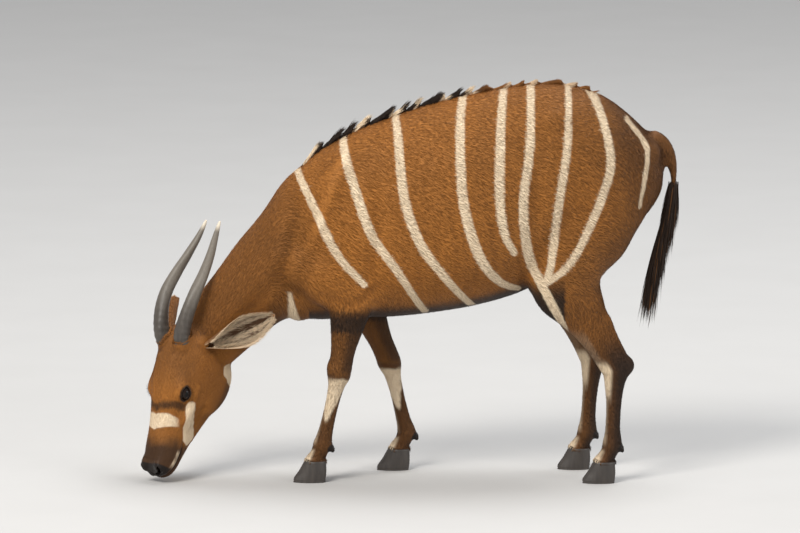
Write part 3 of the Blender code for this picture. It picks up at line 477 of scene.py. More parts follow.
def leg_rings(joints, stations, steps, points):
    rows = []
    for stretch, share, depth, width in stations:
        start = Vector(joints[stretch])
        end = Vector(joints[min(stretch + 1, len(joints) - 1)])
        rows.append((*start.lerp(end, share), width, depth))
    return tube_rings(rows, Y_AXIS, steps, points)


def station_rings(table, ahead, side, steps, points, power):
    """Rings from a table of stations: place ahead, top, bottom, widest level, half width."""
    rings = []
    for along, top, bottom, widest, half in through(table, steps):
        centre = ahead * along + Z_AXIS * widest
        rings.append(oval(centre, side, Z_AXIS, half, top - widest, widest - bottom, points, power))
    return rings


def neck_rings(steps, points):
    rings = []
    for crest_x, crest_z, throat_x, throat_z, bend, half in through(NECK, steps):
        crest, throat = Vector((crest_x, bend, crest_z)), Vector((throat_x, bend, throat_z))
        up = (crest - throat).normalized()
        reach = (crest - throat).length / 2
        rings.append(oval((crest + throat) / 2, Y_AXIS, up, half, reach, reach, points))
    return rings


def heel(side):
    """The point of the hock and the tendon above it."""
    hock = Vector(HIND_JOINTS[side][2])
    stifle = Vector(HIND_JOINTS[side][1])
    point = hock + Vector((0.040, 0, 0.012))
    ball(point, (0.020, 0.017, 0.030))
    calf = hock.lerp(stifle, 0.55) + Vector((0.052, 0, 0.010))
    tendon = ((0, 0.016), (0.3, 0.0135), (0.7, 0.017), (1, 0.026))
    rows = through([(*point.lerp(calf, share), thick) for share, thick in tendon], 12)
    loft([oval(Vector(row[:3]), Y_AXIS, X_AXIS, row[3], row[3], row[3], 16) for row in rows])


def dewclaw_places():
    """Where the two small side toes stand behind each fetlock."""
    places = []
    for joints in (*FORE_JOINTS.values(), *HIND_JOINTS.values()):
        for across in (-1, 1):
            places.append(Vector(joints[3]) + Vector((0.027, across * 0.013, -0.010)))
    return places


def flesh_pieces():
    """Every overlapping form that the skin is drawn over."""
    loft(station_rings(TRUNK, X_AXIS, Y_AXIS, 48, 48, 2.1))
    loft(neck_rings(24, 40))
    loft([[HEAD @ point for point in ring] for ring in station_rings(SKULL, Y_AXIS, X_AXIS, 40, 40, 2.25)])
    loft(tube_rings(TAIL_LINE, -Y_AXIS, 24, 12))
    for side in SIDES:
        loft(leg_rings(FORE_JOINTS[side], FORE_STATIONS, 40, 24))
        loft(leg_rings(HIND_JOINTS[side], HIND_STATIONS, 44, 24))
        for _, (x, y, z), radii, lean in BULGES:
            ball(Vector((x, side * y, z)), radii, Matrix.Rotation(math.radians(lean), 3, "Y"))
        for _, place, radii in HEAD_BULGES:
            ball(on_head(place, side), radii, HEAD_TURN)
        heel(side)
        knee = Vector(FORE_JOINTS[side][2])
        ball(knee + Vector((-0.012, 0, 0.008)), (0.027, 0.031, 0.040))
    for place in dewclaw_places():
        ball(place, (0.010, 0.0085, 0.016), Matrix.Rotation(math.radians(-25), 3, "Y"), segments=16)


def gathered(name):
    """Everything on the work bench as one object."""
    shape = bmesh.new()
    for piece in list(WORK.objects):
        shape.from_mesh(piece.data)
        bpy.data.objects.remove(piece, do_unlink=True)
    return object_of_shape(shape, name, WORK)


def neighbours(mesh):
    """The start and end of each edge, both ways, and how many neighbours each vertex has."""
    ends = column(mesh.edges, "vertices", 2, np.int32)
    both = np.vstack([ends, ends[:, ::-1]])
    count = np.bincount(both[:, 0], minlength=len(mesh.vertices))[:, None]
    return both[:, 0], both[:, 1], np.maximum(count, 1)


def smooth(mesh, weight, rounds, out=0.6, back=0.0):
    """Averages each vertex with its neighbours by its weight, with a step back after each if one is given."""
    start, end, count = neighbours(mesh)
    points = points_of(mesh)
    for step in range(rounds * (2 if back else 1)):
        pull = -back if back and step % 2 else out
        total = np.stack([np.bincount(start, points[end, axis], len(points)) for axis in range(3)], 1)
        points += pull * weight[:, None] * (total / count - points)
    put_points(mesh, points)


def on_face(points, low=-0.04, high=0.06):
    """1 on the head and 0 off it."""
    return blend(low, high, to_head(points)[:, 1]) * (points[:, 0] < -0.60) * (points[:, 2] < 0.56)


def body_weight(points):
    """How much of the smoothing each point takes: all on the trunk, little on the head and the lower legs."""
    trunk = 0.10 + 0.90 * blend(0.30, 0.62, points[:, 2])
    along = to_head(points)[:, 1]
    face = on_face(points)
    return trunk * (1 - face) + (0.25 - 0.10 * blend(0.28, 0.36, along)) * face


def soft_places(points):
    """1 on the brows and the points of the hocks, whose rounded forms are blended further into the skin."""
    soft = np.zeros(len(points))
    for side in SIDES:
        brow = np.array(on_head((0.066, 0.150, -0.040), side))
        hock = np.array(HIND_JOINTS[side][2]) + np.array([0.030, 0, 0.010])
        for place, reach in ((brow, 0.070), (hock, 0.045)):
            soft = np.maximum(soft, blend(reach, 0.4 * reach, np.linalg.norm(points - place, axis=1)))
    return soft


def finer(mesh, chosen):
    """Splits the chosen faces in four, and the faces beside them to meet them."""
    shape = bmesh.new()
    shape.from_mesh(mesh)
    shape.faces.ensure_lookup_table()
    edges = {edge for index in np.flatnonzero(chosen) for edge in shape.faces[int(index)].edges}
    bmesh.ops.subdivide_edges(shape, edges=list(edges), cuts=1, use_grid_fill=True)
    bmesh.ops.triangulate(shape, faces=[face for face in shape.faces if len(face.verts) > 4])
    shape.to_mesh(mesh)
    shape.free()


def face_centres(mesh):
    return column(mesh.polygons, "center", 3).astype(float)


# The head's own forms

def eye_axes(side):
    """The way the eye looks, along its opening to the tear duct, and across the opening."""
    look = (HEAD_TURN @ Vector((-side * 0.92, 0.30, 0.24))).normalized()
    nose = HEAD_TURN @ Vector((0, 1, -0.32))
    long = (nose - look * nose.dot(look)).normalized()
    tall = look.cross(long).normalized()
    if tall.dot(HEAD_TURN @ Vector((0, 0, 1))) < 0:
        tall = -tall
    return look, long, tall


def eye_places(points, side):
    """Each point as the eye sees it: along the opening, up across it, ahead, and 1 at the lids' edge."""
    centre = np.array(on_head(EYE_PLACE, side))
    look, long, tall = (np.array(axis) for axis in eye_axes(side))
    away = points - centre
    u, v, ahead = away @ long, away @ tall, away @ look
    half_long = LID_LENGTH / 2 * np.where(u > 0, 1.16, 1.0)
    half_tall = LID_HEIGHT / 2 * np.where(v > 0, 1.0, 0.88)
    edge = (np.abs(u / half_long) ** 2 + np.abs(v / half_tall) ** 1.6) ** 0.55
    return u, v, ahead, edge


def set_lids(points):
    """Draws the skin over the front of each eyeball as lids, and behind it inside their opening."""
    for side in SIDES:
        u, v, ahead, edge = eye_places(points, side)
        look, long, tall = (np.array(axis) for axis in eye_axes(side))
        lateral = np.sqrt(u * u + v * v)
        near = (lateral < 2.6 * EYE_RADIUS) & (ahead > -0.6 * EYE_RADIUS) & (ahead < 2.5 * EYE_RADIUS)
        snapped = near & (np.abs(edge - 1) < 0.055)
        shrink = np.where(snapped, 1 / np.maximum(edge, 0.5), 1.0)
        new_u, new_v = u * shrink, v * shrink
        lateral = np.sqrt(new_u ** 2 + new_v ** 2)
        globe = np.sqrt(np.maximum(EYE_RADIUS ** 2 - lateral ** 2, 0))
        thick = 0.0014 + 0.0016 * hump(edge, 1.12, 0.13) - 0.0012 * hump(edge, 1.62, 0.13) * (v > 0)
        lid = np.sqrt(np.maximum((EYE_RADIUS + thick) ** 2 - lateral ** 2, 0))
        lid = np.where(lateral < EYE_RADIUS + thick, lid, -(lateral - EYE_RADIUS - thick) * 1.6)
        soft = 0.004
        gap = np.clip(0.5 + 0.5 * (lid - ahead) / soft, 0, 1)
        over = ahead * (1 - gap) + lid * gap + soft * gap * (1 - gap)
        inside = globe - 0.0035
        height = np.where(edge < 0.95, inside, np.where(snapped, globe + 0.0004, over))
        moved = points + ((new_u - u)[:, None] * long + (new_v - v)[:, None] * tall
                          + (height - ahead)[:, None] * look)
        points = np.where(near[:, None], moved, points)
    return points


def mouth_level(along):
    """How far above the head's base line the lips meet, from the corner to the front."""
    share = np.clip((along - MOUTH_CORNER) / (HEAD_LENGTH - MOUTH_CORNER), 0, 1)
    return MOUTH_LEVEL + MOUTH_RISE * share ** 1.6


def nostril_distance(across, above):
    """How far each point is outside the comma of the nostril, in shares of the comma's own half width."""
    flat = np.stack([np.abs(across), above], 1)
    far, share = distance_to(flat, NOSTRIL_LINE)
    return far / (0.0058 - 0.0034 * share)


# Ridges and hollows of the head, each side, in its own frame: half width, height, points
FACE_LINES = (
    (0.010, 0.0030, ((0.030, 0.090, 0.010), (0.022, 0.200, -0.008), (0.014, 0.330, -0.036))),
    (0.011, -0.0032, ((0.052, 0.215, -0.060), (0.044, 0.262, -0.066), (0.040, 0.315, -0.074))),
    (0.007, -0.0022, ((0.064, 0.204, -0.066), (0.058, 0.226, -0.078), (0.052, 0.250, -0.090))),
    (0.009, 0.0028, ((0.074, 0.150, -0.086), (0.068, 0.200, -0.096), (0.056, 0.250, -0.106))),
    (0.012, -0.0030, ((0.064, 0.190, -0.140), (0.056, 0.230, -0.134), (0.048, 0.275, -0.126))),
    (0.010, 0.0028, ((0.050, 0.060, -0.214), (0.050, 0.130, -0.212), (0.042, 0.210, -0.184),
                     (0.036, 0.290, -0.156))),
    (0.006, -0.0020, ((0.050, 0.306, -0.112), (0.052, 0.318, -0.120), (0.048, 0.326, -0.130))),
    (0.018, -0.0020, ((0.078, 0.085, -0.050), (0.068, 0.100, -0.026), (0.052, 0.108, -0.008))),
    (0.006, -0.0016, ((0.040, 0.352, -0.084), (0.042, 0.366, -0.092), (0.040, 0.380, -0.100))),
)


def shape_head(points, normals):
    """Lips, nostrils, the ridges of the face, and the groove below the nose."""
    across, along, above = to_head(points).T
    face = on_face(points, 0.02, 0.08)
    mirrored = np.stack([np.abs(across), along, above], 1)
    push = np.zeros(len(points))
    for half, height, line in FACE_LINES:
        far, _ = distance_to(mirrored, through(line, 9))
        push += height * hump(far, 0, half)
    level = above - mouth_level(along)
    inside = blend(MOUTH_CORNER - 0.012, MOUTH_CORNER + 0.010, along)
    lips = blend(0.030, 0.0, np.abs(level))
    push += 0.0032 * inside * hump(level, 0.0105, 0.0070)
    push += 0.0030 * inside * hump(level, -0.0100, 0.0066)
    push -= 0.0046 * inside * lips * hump(level, 0, 0.0021)
    front = blend(0.400, 0.412, along)
    groove = blend(-0.110, -0.104, above) * blend(-0.078, -0.084, above)
    push -= 0.0022 * front * hump(across, 0, 0.0016) * groove
    points = points + normals * (push * face)[:, None]
    outside = nostril_distance(across, above)
    wing = blend(0.360, 0.392, along)
    rim = 0.0020 * wing * hump(outside, 1.5, 0.55)
    deep = 0.0135 * wing * blend(1.15, 0.35, outside)
    turn = np.array(HEAD_TURN)
    ones = np.ones(len(points))
    inward = np.stack([-0.30 * np.sign(across), -0.93 * ones, -0.10 * ones], 1) @ turn.T
    return points + (normals * rim[:, None] + inward * deep[:, None]) * face[:, None]


# Ridges and hollows of the body, each side: half width, height, points (x, y, z)
BODY_LINES = (
    (0.020, 0.0050, ((-0.330, 0.090, 0.985), (-0.372, 0.130, 0.860), (-0.420, 0.145, 0.740),
                     (-0.462, 0.140, 0.650))),
    (0.024, -0.0065, ((-0.262, 0.120, 0.930), (-0.250, 0.190, 0.800), (-0.255, 0.200, 0.700),
                      (-0.272, 0.180, 0.610))),
    (0.020, -0.0050, ((-0.480, 0.120, 0.800), (-0.505, 0.115, 0.700), (-0.510, 0.100, 0.610))),
    (0.018, -0.0060, ((-0.420, 0.160, 0.560), (-0.360, 0.175, 0.530), (-0.290, 0.175, 0.540),
                      (-0.240, 0.165, 0.580))),
    (0.026, -0.0070, ((0.170, 0.190, 1.010), (0.205, 0.215, 0.900), (0.205, 0.215, 0.780),
                      (0.190, 0.190, 0.660))),
    (0.018, 0.0050, ((0.205, 0.190, 0.760), (0.190, 0.190, 0.670), (0.205, 0.170, 0.600),
                     (0.235, 0.160, 0.560))),
    (0.022, -0.0055, ((0.330, 0.150, 1.010), (0.400, 0.165, 0.930), (0.440, 0.165, 0.820),
                      (0.440, 0.150, 0.700))),
    (0.016, -0.0040, ((0.500, 0.110, 0.930), (0.505, 0.110, 0.820), (0.480, 0.110, 0.700))),
    (0.016, -0.0050, ((-0.720, 0.070, 0.380), (-0.655, 0.085, 0.450), (-0.590, 0.090, 0.520),
                      (-0.530, 0.095, 0.590))),
    (0.020, 0.0035, ((-0.700, 0.070, 0.440), (-0.640, 0.085, 0.520), (-0.570, 0.100, 0.620),
                     (-0.500, 0.120, 0.700))),
    (0.022, -0.0035, ((-0.740, 0.060, 0.500), (-0.660, 0.075, 0.610), (-0.580, 0.090, 0.720),
                      (-0.500, 0.100, 0.820))),
)


def rib_lines():
    """The hollows between the ribs, faint and sloping back."""
    lines = []
    for k in range(7):
        x = -0.235 + 0.056 * k
        lines.append((0.011, -0.0013, ((x, 0.19, 0.930), (x + 0.035, 0.235, 0.800), (x + 0.055, 0.225, 0.660),
                                       (x + 0.050, 0.180, 0.560))))
    return lines


def leg_lines():
    """The tendon behind each cannon and the hollows that part it from the bone."""
    lines = []
    for joints, rear in ((FORE_JOINTS, 0.010), (HIND_JOINTS, 0.011)):
        for side in SIDES:
            knee, fetlock = Vector(joints[side][2]), Vector(joints[side][3])
            for across in (-1, 1):
                start = knee.lerp(fetlock, 0.22) + Vector((rear, across * 0.018, 0))
                end = knee.lerp(fetlock, 0.88) + Vector((rear, across * 0.018, 0))
                lines.append((0.0055, -0.0026, (start, start.lerp(end, 0.5), end)))
    return lines


def shape_body(points, normals):
    """Muscle edges, the hollow of the flank, the folds at elbow and stifle, and the legs' tendons."""
    mirrored = np.stack([points[:, 0], np.abs(points[:, 1]), points[:, 2]], 1)
    push = np.zeros(len(points))
    for half, height, line in BODY_LINES + tuple(rib_lines()):
        far, share = distance_to(mirrored, through(line, 13))
        push += height * hump(far, 0, half) * (0.35 + 0.65 * np.sin(math.pi * share))
    for half, height, line in leg_lines():
        far, share = distance_to(points, line)
        push += height * hump(far, 0, half) * np.sin(math.pi * np.clip(share, 0.02, 0.98)) ** 0.5
    push += 0.0012 * ripple(points, 9, 3) * blend(0.45, 0.60, points[:, 2])
    return points + normals * push[:, None]


def coat_depth(points):
    """How far the skin lies inside the solids, which stand for the coat's outside."""
    face = on_face(points, -0.06, 0.06)
    along = to_head(points)[:, 1]
    leg = blend(0.50, 0.36, points[:, 2]) * (1 - face)
    depth = COAT_DEPTH * (1 - leg) + 0.0016 * leg
    return depth * (1 - face) + face * (0.0014 - 0.0010 * blend(0.28, 0.36, along))


def body_skin():
    """The one skin over the whole animal, fine on the head."""
    flesh_pieces()
    whole = gathered("flesh")
    remesh = whole.modifiers.new("even_skin", "REMESH")
    remesh.mode = "VOXEL"
    remesh.voxel_size = VOXEL
    skin = replaced(whole, "skin", BODY)
    mesh = skin.data
    weight = body_weight(points_of(mesh))
    smooth(mesh, weight ** 1.5, 60)
    smooth(mesh, soft_places(points_of(mesh)), 26)
    smooth(mesh, np.ones(len(weight)), 4, 0.55, 0.56)
    put_points(mesh, shape_body(points_of(mesh), normals_of(mesh)))

    centres = face_centres(mesh)
    finer(mesh, on_face(centres, -0.02, 0.0) > 0.5)
    smooth(mesh, on_face(points_of(mesh), -0.02, 0.04), 3, 0.5, 0.52)
    finer(mesh, fine_places(face_centres(mesh), 0.035, 0.325))
    smooth(mesh, on_face(points_of(mesh), -0.02, 0.04), 3, 0.5, 0.52)

    points, normals = points_of(mesh), normals_of(mesh)
    points -= normals * coat_depth(points)[:, None]
    put_points(mesh, points)
    put_points(mesh, shape_head(points, normals_of(mesh)))
    put_points(mesh, set_lids(points_of(mesh)))
    return thinned(skin)


def fine_places(points, reach, start):
    """1 round the eyes and on the muzzle, where the skin is finest."""
    eyes = [np.array(on_head(EYE_PLACE, side)) for side in SIDES]
    by_eye = np.min([np.linalg.norm(points - eye, axis=1) for eye in eyes], axis=0)
    muzzle = to_head(points)[:, 1] > start
    return (on_face(points, 0.0, 0.02) > 0.5) & ((by_eye < reach) | muzzle)


def by_stripe_edges(mesh):
    """1 for each vertex that has a stripe's edge between it and a neighbour."""
    pale = markings(points_of(mesh), normals_of(mesh))[:, 0]
    start, end, _ = neighbours(mesh)
    crossed = np.abs(pale[start] - pale[end]) > 0.15
    return np.bincount(start[crossed], minlength=len(pale)) > 0


def thinned(skin):
    """Thins the plain flesh; every vertex round the eyes, on the muzzle and by the stripes' edges stays."""
    plain = skin.vertex_groups.new(name="plain")
    kept = fine_places(points_of(skin.data), 0.037, 0.322) | by_stripe_edges(skin.data)
    plain.add([int(k) for k in np.flatnonzero(~kept)], 1.0, "REPLACE")
    skin.data.calc_loop_triangles()
    decimate = skin.modifiers.new("thin", "DECIMATE")
    decimate.ratio = min(1.0, (PLAIN_FACES + 2 * int(np.sum(kept))) / len(skin.data.loop_triangles))
    decimate.vertex_group = plain.name
    decimate.use_collapse_triangulate = True
    made = replaced(skin, "skin", BODY)
    made.data.shade_smooth()
    return made


def unwrap(item):
    """Lays the skin's own shape out flat, as the map that every tuft takes its place from."""
    for other in bpy.context.selected_objects:
        other.select_set(False)
    item.select_set(True)
    bpy.context.view_layer.objects.active = item
    bpy.ops.object.mode_set(mode="EDIT")
    bpy.ops.mesh.select_all(action="SELECT")
    bpy.ops.uv.smart_project(angle_limit=math.radians(70), island_margin=0.001)
    bpy.ops.object.mode_set(mode="OBJECT")
    item.data.uv_layers[0].name = "OFBake"
    item.select_set(False)


# Markings

def leg_share(points, joints, depth=0.028):
    """1 at the front of a leg and -1 at its rear, from the leg's own line."""
    line = np.array(joints)[1:]
    order = np.argsort(line[:, 2])
    middle = np.interp(points[:, 2], line[order, 2], line[order, 0])
    return (middle - points[:, 0]) / depth


# White spots of each cheek in the head's own frame: radius at the start and the end, then where these are
CHEEK_SPOTS = (
    (0.0165, 0.0260, ((0.068, 0.212, -0.088), (0.060, 0.252, -0.108), (0.052, 0.288, -0.130))),
    (0.0250, 0.0250, ((0.074, 0.066, -0.184), (0.058, 0.078, -0.212))),
)


def head_spots(points):
    """The white of the head: the bar across the nose, two spots on each cheek, lips and chin."""
    across, along, above = to_head(points).T
    wide = np.abs(across)
    face = on_face(points, 0.02, 0.06)
    half = 0.0225 - 0.10 * wide - 0.006 * blend(0.036, 0.054, wide) + 0.0014 * ripple(points, 90, 23)
    bar = np.abs(along - (0.280 - 0.28 * wide)) - half
    pale = blend(0.002, -0.002, bar) * blend(0.055, 0.048, wide) * (above > -0.080)
    frayed = 0.0022 * ripple(points, 70, 24)
    for start, end, line in CHEEK_SPOTS:
        far, share = distance_to(np.stack([wide, along, above], 1), line)
        radius = start + (end - start) * share + frayed
        pale = np.maximum(pale, blend(0.002, -0.002, far - radius))
    chin = blend(0.335, 0.350, along) * blend(-0.128, -0.134, above)
    lip = blend(0.335, 0.350, along) * blend(0.008, 0.005, np.abs(above - mouth_level(along) - 0.010))
    lip = lip * blend(0.402, 0.380, along) * (0.38 + 0.25 * ripple(points, 80, 25))
    return face * np.max([pale, chin, lip], axis=0)


def flank_stripes(points, normals, fray):
    """The white stripes, at their true width where the body turns away, and not on its underside."""
    x, y, z = points.T
    flat = np.stack([x + 0.012 * (y > 0) * np.sin(9 * z), z], 1)
    sideways = normals[:, 1] * np.sign(y)
    outer = np.where(z < 0.56, blend(-0.25, 0.0, sideways), 1.0)
    outer = np.where((x > 0.18) & (z < 0.66), blend(0.05, 0.30, sideways), outer)
    facing = np.sqrt(np.clip(1 - normals[:, 0] ** 2, 0.16, 1))
    pale = np.zeros(len(points))
    for half, line in STRIPES:
        far, share = distance_to(flat, through(line, 4 * len(line)))
        width = half * (0.72 + 0.38 * np.sin(math.pi * np.clip(share, 0.08, 0.92))) * facing
        pale = np.maximum(pale, blend(width + 0.0016, width - 0.0016, far + fray) * outer)
    return pale * (x > -0.53)


def trunk_tone(points):
    """How deep the brown is: deeper on the neck, thigh and rump, brighter behind the shoulder."""
    x, _, z = points.T
    tone = 0.28 + 0.10 * ripple(points, 5, 31)
    tone += 0.30 * blend(-0.38, -0.56, x)
    tone += 0.30 * blend(0.80, 0.62, z) * blend(0.20, 0.34, x)
    tone += 0.42 * blend(0.36, 0.52, x)
    tone -= 0.12 * blend(-0.46, -0.34, x) * blend(-0.16, -0.26, x) * blend(0.98, 0.84, z)
    return tone + 0.14 * blend(0.010, 0.065, x) * blend(0.75, 1.00, z)


def lower_leg_white(front, z, fray, cannon_edge, pastern_edge, top):
    """The pale front of the cannon bone and of the pastern."""
    cannon = blend(cannon_edge, cannon_edge + 0.4, front) * blend(top, top - 0.03, z) * blend(0.10, 0.13, z)
    pastern = blend(pastern_edge, pastern_edge + 0.4, front + 3 * fray)
    pastern = pastern * blend(0.100, 0.090, z) * blend(0.062, 0.068, z)
    return np.maximum(cannon * 0.55, pastern * 0.8)


def foreleg_marks(points, side, fray):
    """White patch below the knee, pale front further down, and the dark of the rest."""
    z = points[:, 2]
    front = leg_share(points, FORE_JOINTS[side])
    upper = blend(0.53, 0.44, z) * blend(0.30, 0.33, z)
    dark = np.maximum(upper * (0.55 + 0.25 * blend(0.3, -0.6, front)), blend(0.34, 0.31, z) * 0.72)
    low, high = 0.170, FORE_JOINTS[side][2][2] - 0.022
    wedge = 0.036 * np.clip((z - low) / (high - low - 0.010), 0, 1)
    edge = np.abs(front * 0.028 - 0.006) - wedge + 2 * fray + 0.002 * ripple(points, 40, 28)
    patch = blend(0.004, -0.003, edge) * blend(low, low + 0.02, z)
    patch *= blend(high + 0.008, high - 0.006, z + 0.006 * ripple(points, 40, 29))
    return np.maximum(patch, lower_leg_white(front, z, fray, 0.5, 0.4, 0.25)), dark


def hindleg_marks(points, side, fray):
    """White front of the hock, faint shin, pale front further down, and the dark of the rest."""
    z = points[:, 2]
    front = leg_share(points, HIND_JOINTS[side], 0.034)
    dark = blend(0.46, 0.34, z) * (0.50 + 0.35 * blend(0.4, -0.5, front))
    hock = blend(0.10, 0.50, front + 6 * fray) * blend(0.365, 0.335, z) * blend(0.225, 0.275, z)
    shin = blend(0.5, 0.9, front) * blend(0.46, 0.42, z) * blend(0.33, 0.35, z) * 0.15
    return np.max([hock, shin, lower_leg_white(front, z, fray, 0.35, 0.3, 0.28)], axis=0), dark


def chest_mark(points, fray):
    """The white crescent where the neck meets the chest, and the spot on the throat."""
    x, _, z = points.T
    seen = np.stack([x, z], 1)
    chest, share = distance_to(seen, ((-0.495, 0.545), (-0.490, 0.500), (-0.480, 0.440)))
    throat = distance_to(seen, ((-0.606, 0.386), (-0.556, 0.420)))[0] - 0.0120
    edge = np.minimum(chest - 0.0065 - 0.0125 * share, throat) + 0.003 * ripple(points, 50, 27) + fray
    return blend(0.003, -0.003, edge) * (z < 0.61) * (x < -0.44) * (z > 0.36)


def round_eyes(points, far, near):
    """1 on the rims of the eyes and 0 further out, in shares of the lids' opening."""
    rims = np.zeros(len(points))
    for side in SIDES:
        _, _, ahead, edge = eye_places(points, side)
        rims = np.maximum(rims, blend(far, near, edge) * (ahead > 0))
    return rims


def markings(points, normals, rough=0.0):
    """Pale, dark, brown and bare shares of each place on the coat; rough frays the edges of the markings."""
    x, y, z = points.T
    fray = rough * (0.0022 * ripple(points, 60, 21) + 0.0012 * ripple(points, 220, 22))
    bottom = np.interp(x, [row[0] for row in TRUNK], [row[2] for row in TRUNK])
    belly = blend(0.058, 0.020, z - bottom + 4 * fray) * (x > -0.44) * (x < 0.30) * (z > 0.44)
    dark = belly * 0.92 * blend(0.64, 0.54, z)
    pale = flank_stripes(points, normals, fray)
    pale *= 1 - 0.85 * blend(0.020, 0.004, z - bottom) * (z > 0.44) * (x < 0.20)
    tone = trunk_tone(points)
    for side in SIDES:
        leg = (np.sign(y) == side) & (z < 0.62)
        fore, hind = leg & (x > -0.56) & (x < 0.02), leg & (x > 0.10)
        for here, marks in ((fore, foreleg_marks), (hind, hindleg_marks)):
            leg_pale, leg_dark = marks(points, side, fray)
            pale = np.maximum(pale, here * leg_pale)
            dark = np.maximum(dark, here * leg_dark)
        tone = np.where(hind, np.maximum(tone, 0.62 * blend(0.62, 0.50, z)), tone)
    pale = np.maximum(pale, chest_mark(points, fray))

    across, along, above = to_head(points).T
    wide = np.abs(across)
    face = on_face(points, 0.0, 0.05)
    pale = np.maximum(pale * (1 - face), head_spots(points))
    nose = blend(0.385, 0.400, along) * blend(-0.104, -0.098, above)
    muzzle = blend(0.316, 0.366, along + 0.4 * wide + 0.007 * ripple(points, 30, 26)) * 0.85
    throat = blend(-0.176, -0.200, above) * blend(0.05, 0.12, along) * 0.5
    # Painted shade: a dark band across the face, between the eyes and the white bar, stands for the shadow of
    # the brows.
    brow_shadow_band = blend(0.014, 0.006, np.abs(along - (0.240 - 0.36 * wide))) * blend(0.066, 0.058, wide)
    darkness = np.max([nose, muzzle, throat, 0.75 * brow_shadow_band * (above > -0.080),
                       0.95 * round_eyes(points, 1.55, 1.15)], axis=0)
    dark = np.where(face > 0, dark * (1 - face) + face * darkness, dark)
    brow = 0.62 - 0.36 * blend(0.10, 0.20, along) + 0.24 * blend(0.22, 0.32, along)
    cheek = 0.34 + 0.18 * blend(-0.12, -0.20, above)
    tone = tone * (1 - face) + face * (brow + (cheek - brow) * blend(-0.035, -0.075, above))

    tail = distance_to(points, np.array(TAIL_LINE)[:, :3])[0] < 0.045
    tail = tail & (z < 0.93) & (x > 0.55)
    dark = np.where(tail, np.maximum(dark, blend(0.86, 0.70, z) * 0.95), dark)
    pale = np.where(tail, 0, pale)

    hollow = face * blend(0.372, 0.392, along) * blend(1.3, 0.9, nostril_distance(across, above))
    slit = blend(0.0032, 0.0016, np.abs(above - mouth_level(along)))
    slit = face * blend(MOUTH_CORNER, MOUTH_CORNER + 0.01, along) * slit
    open_skin = np.maximum(hollow, slit)
    dark = np.maximum(dark, open_skin)
    pale = pale * (1 - open_skin)
    bare = np.maximum(nose * blend(0.040, 0.034, wide), open_skin)
    bare = face * np.maximum(bare, round_eyes(points, 1.28, 1.12))
    for place in dewclaw_places():
        claw = np.array(place + Vector((0.004, 0, -0.004)))
        toe = blend(0.021, 0.016, np.linalg.norm(points - claw, axis=1))
        bare = np.maximum(bare, toe)
        dark = np.maximum(dark, toe)
    return np.clip(np.stack([pale, dark, tone, bare], 1), 0, 1)


# The coat

def lie_of(points, normals):
    """The way the hair lies: back from the nose, up the neck, back and down the flank, and down the legs."""
    x, _, z = points.T
    face = on_face(points, -0.10, 0.04)[:, None]
    turn = np.array(HEAD_TURN)
    nose = np.array([0.0, -1.0, 0.12]) @ turn.T
    neck = blend(-0.44, -0.60, x)[:, None]
    low = (blend(0.62, 0.48, z) * (x > -0.56))[:, None]
    rear = blend(0.40, 0.56, x)[:, None]
    flank = np.array([0.86, 0.0, -0.42]) * (1 - rear) + np.array([0.30, 0.0, -0.95]) * rear
    flow = flank * (1 - neck) + np.array([0.60, 0.0, 0.72]) * neck
    flow = flow * (1 - low) + np.array([0.10, 0.0, -1.0]) * low
    flow = flow * (1 - face) + nose * face
    tail = (distance_to(points, np.array(TAIL_LINE)[:, :3])[0] < 0.05) & (x > 0.53) & (z < 0.99)
    flow = np.where(tail[:, None], np.array([-0.05, 0.0, -1.0]), flow)
    flow = flow + 0.16 * np.stack([ripple(points, 14, 51), ripple(points, 14, 52), ripple(points, 14, 53)], 1)
    flow -= normals * np.sum(flow * normals, axis=1, keepdims=True)
    return unit(flow)


def coat_sizes(points):
    """Length, width and spacing of the tufts at each place."""
    face = on_face(points, -0.06, 0.05)
    fine = blend(0.26, 0.38, to_head(points)[:, 1])
    leg = blend(0.56, 0.34, points[:, 2]) * (points[:, 0] > -0.56) * (1 - face)
    sizes = []
    for trunk, lower, head, less in TUFT_SIZES:
        size = trunk * (1 - leg) + lower * leg
        sizes.append(size * (1 - face) + (head - less * fine) * face)
    return sizes


def scattered(item):
    """Random places on the skin, closer where tufts are smaller: place, normal, place on the flat map."""
    mesh = item.data
    mesh.calc_loop_triangles()
    corners = column(mesh.loop_triangles, "vertices", 3, np.int32)
    loops = column(mesh.loop_triangles, "loops", 3, np.int32)
    flat = column(mesh.uv_layers["OFBake"].data, "uv", 2)[loops]
    points, normals = points_of(mesh), normals_of(mesh)
    a, b, c = (points[corners[:, k]] for k in range(3))
    area = np.linalg.norm(np.cross(b - a, c - a), axis=1) / 2
    spacing = coat_sizes((a + b + c) / 3)[2]
    draw = np.random.default_rng(7)
    share = 1.0
    count = np.floor(area * share / spacing ** 2 + draw.random(len(area))).astype(int)
    chosen = np.repeat(np.arange(len(area)), count)
    p, q = draw.random(len(chosen)), draw.random(len(chosen))
    over = p + q > 1
    p[over], q[over] = 1 - p[over], 1 - q[over]
    weights = np.stack([1 - p - q, p, q], 1)[:, :, None]
    place = np.sum(points[corners[chosen]] * weights, axis=1)
    normal = unit(np.sum(normals[corners[chosen]] * weights, axis=1))
    return place, normal, np.sum(flat[chosen] * weights, axis=1)


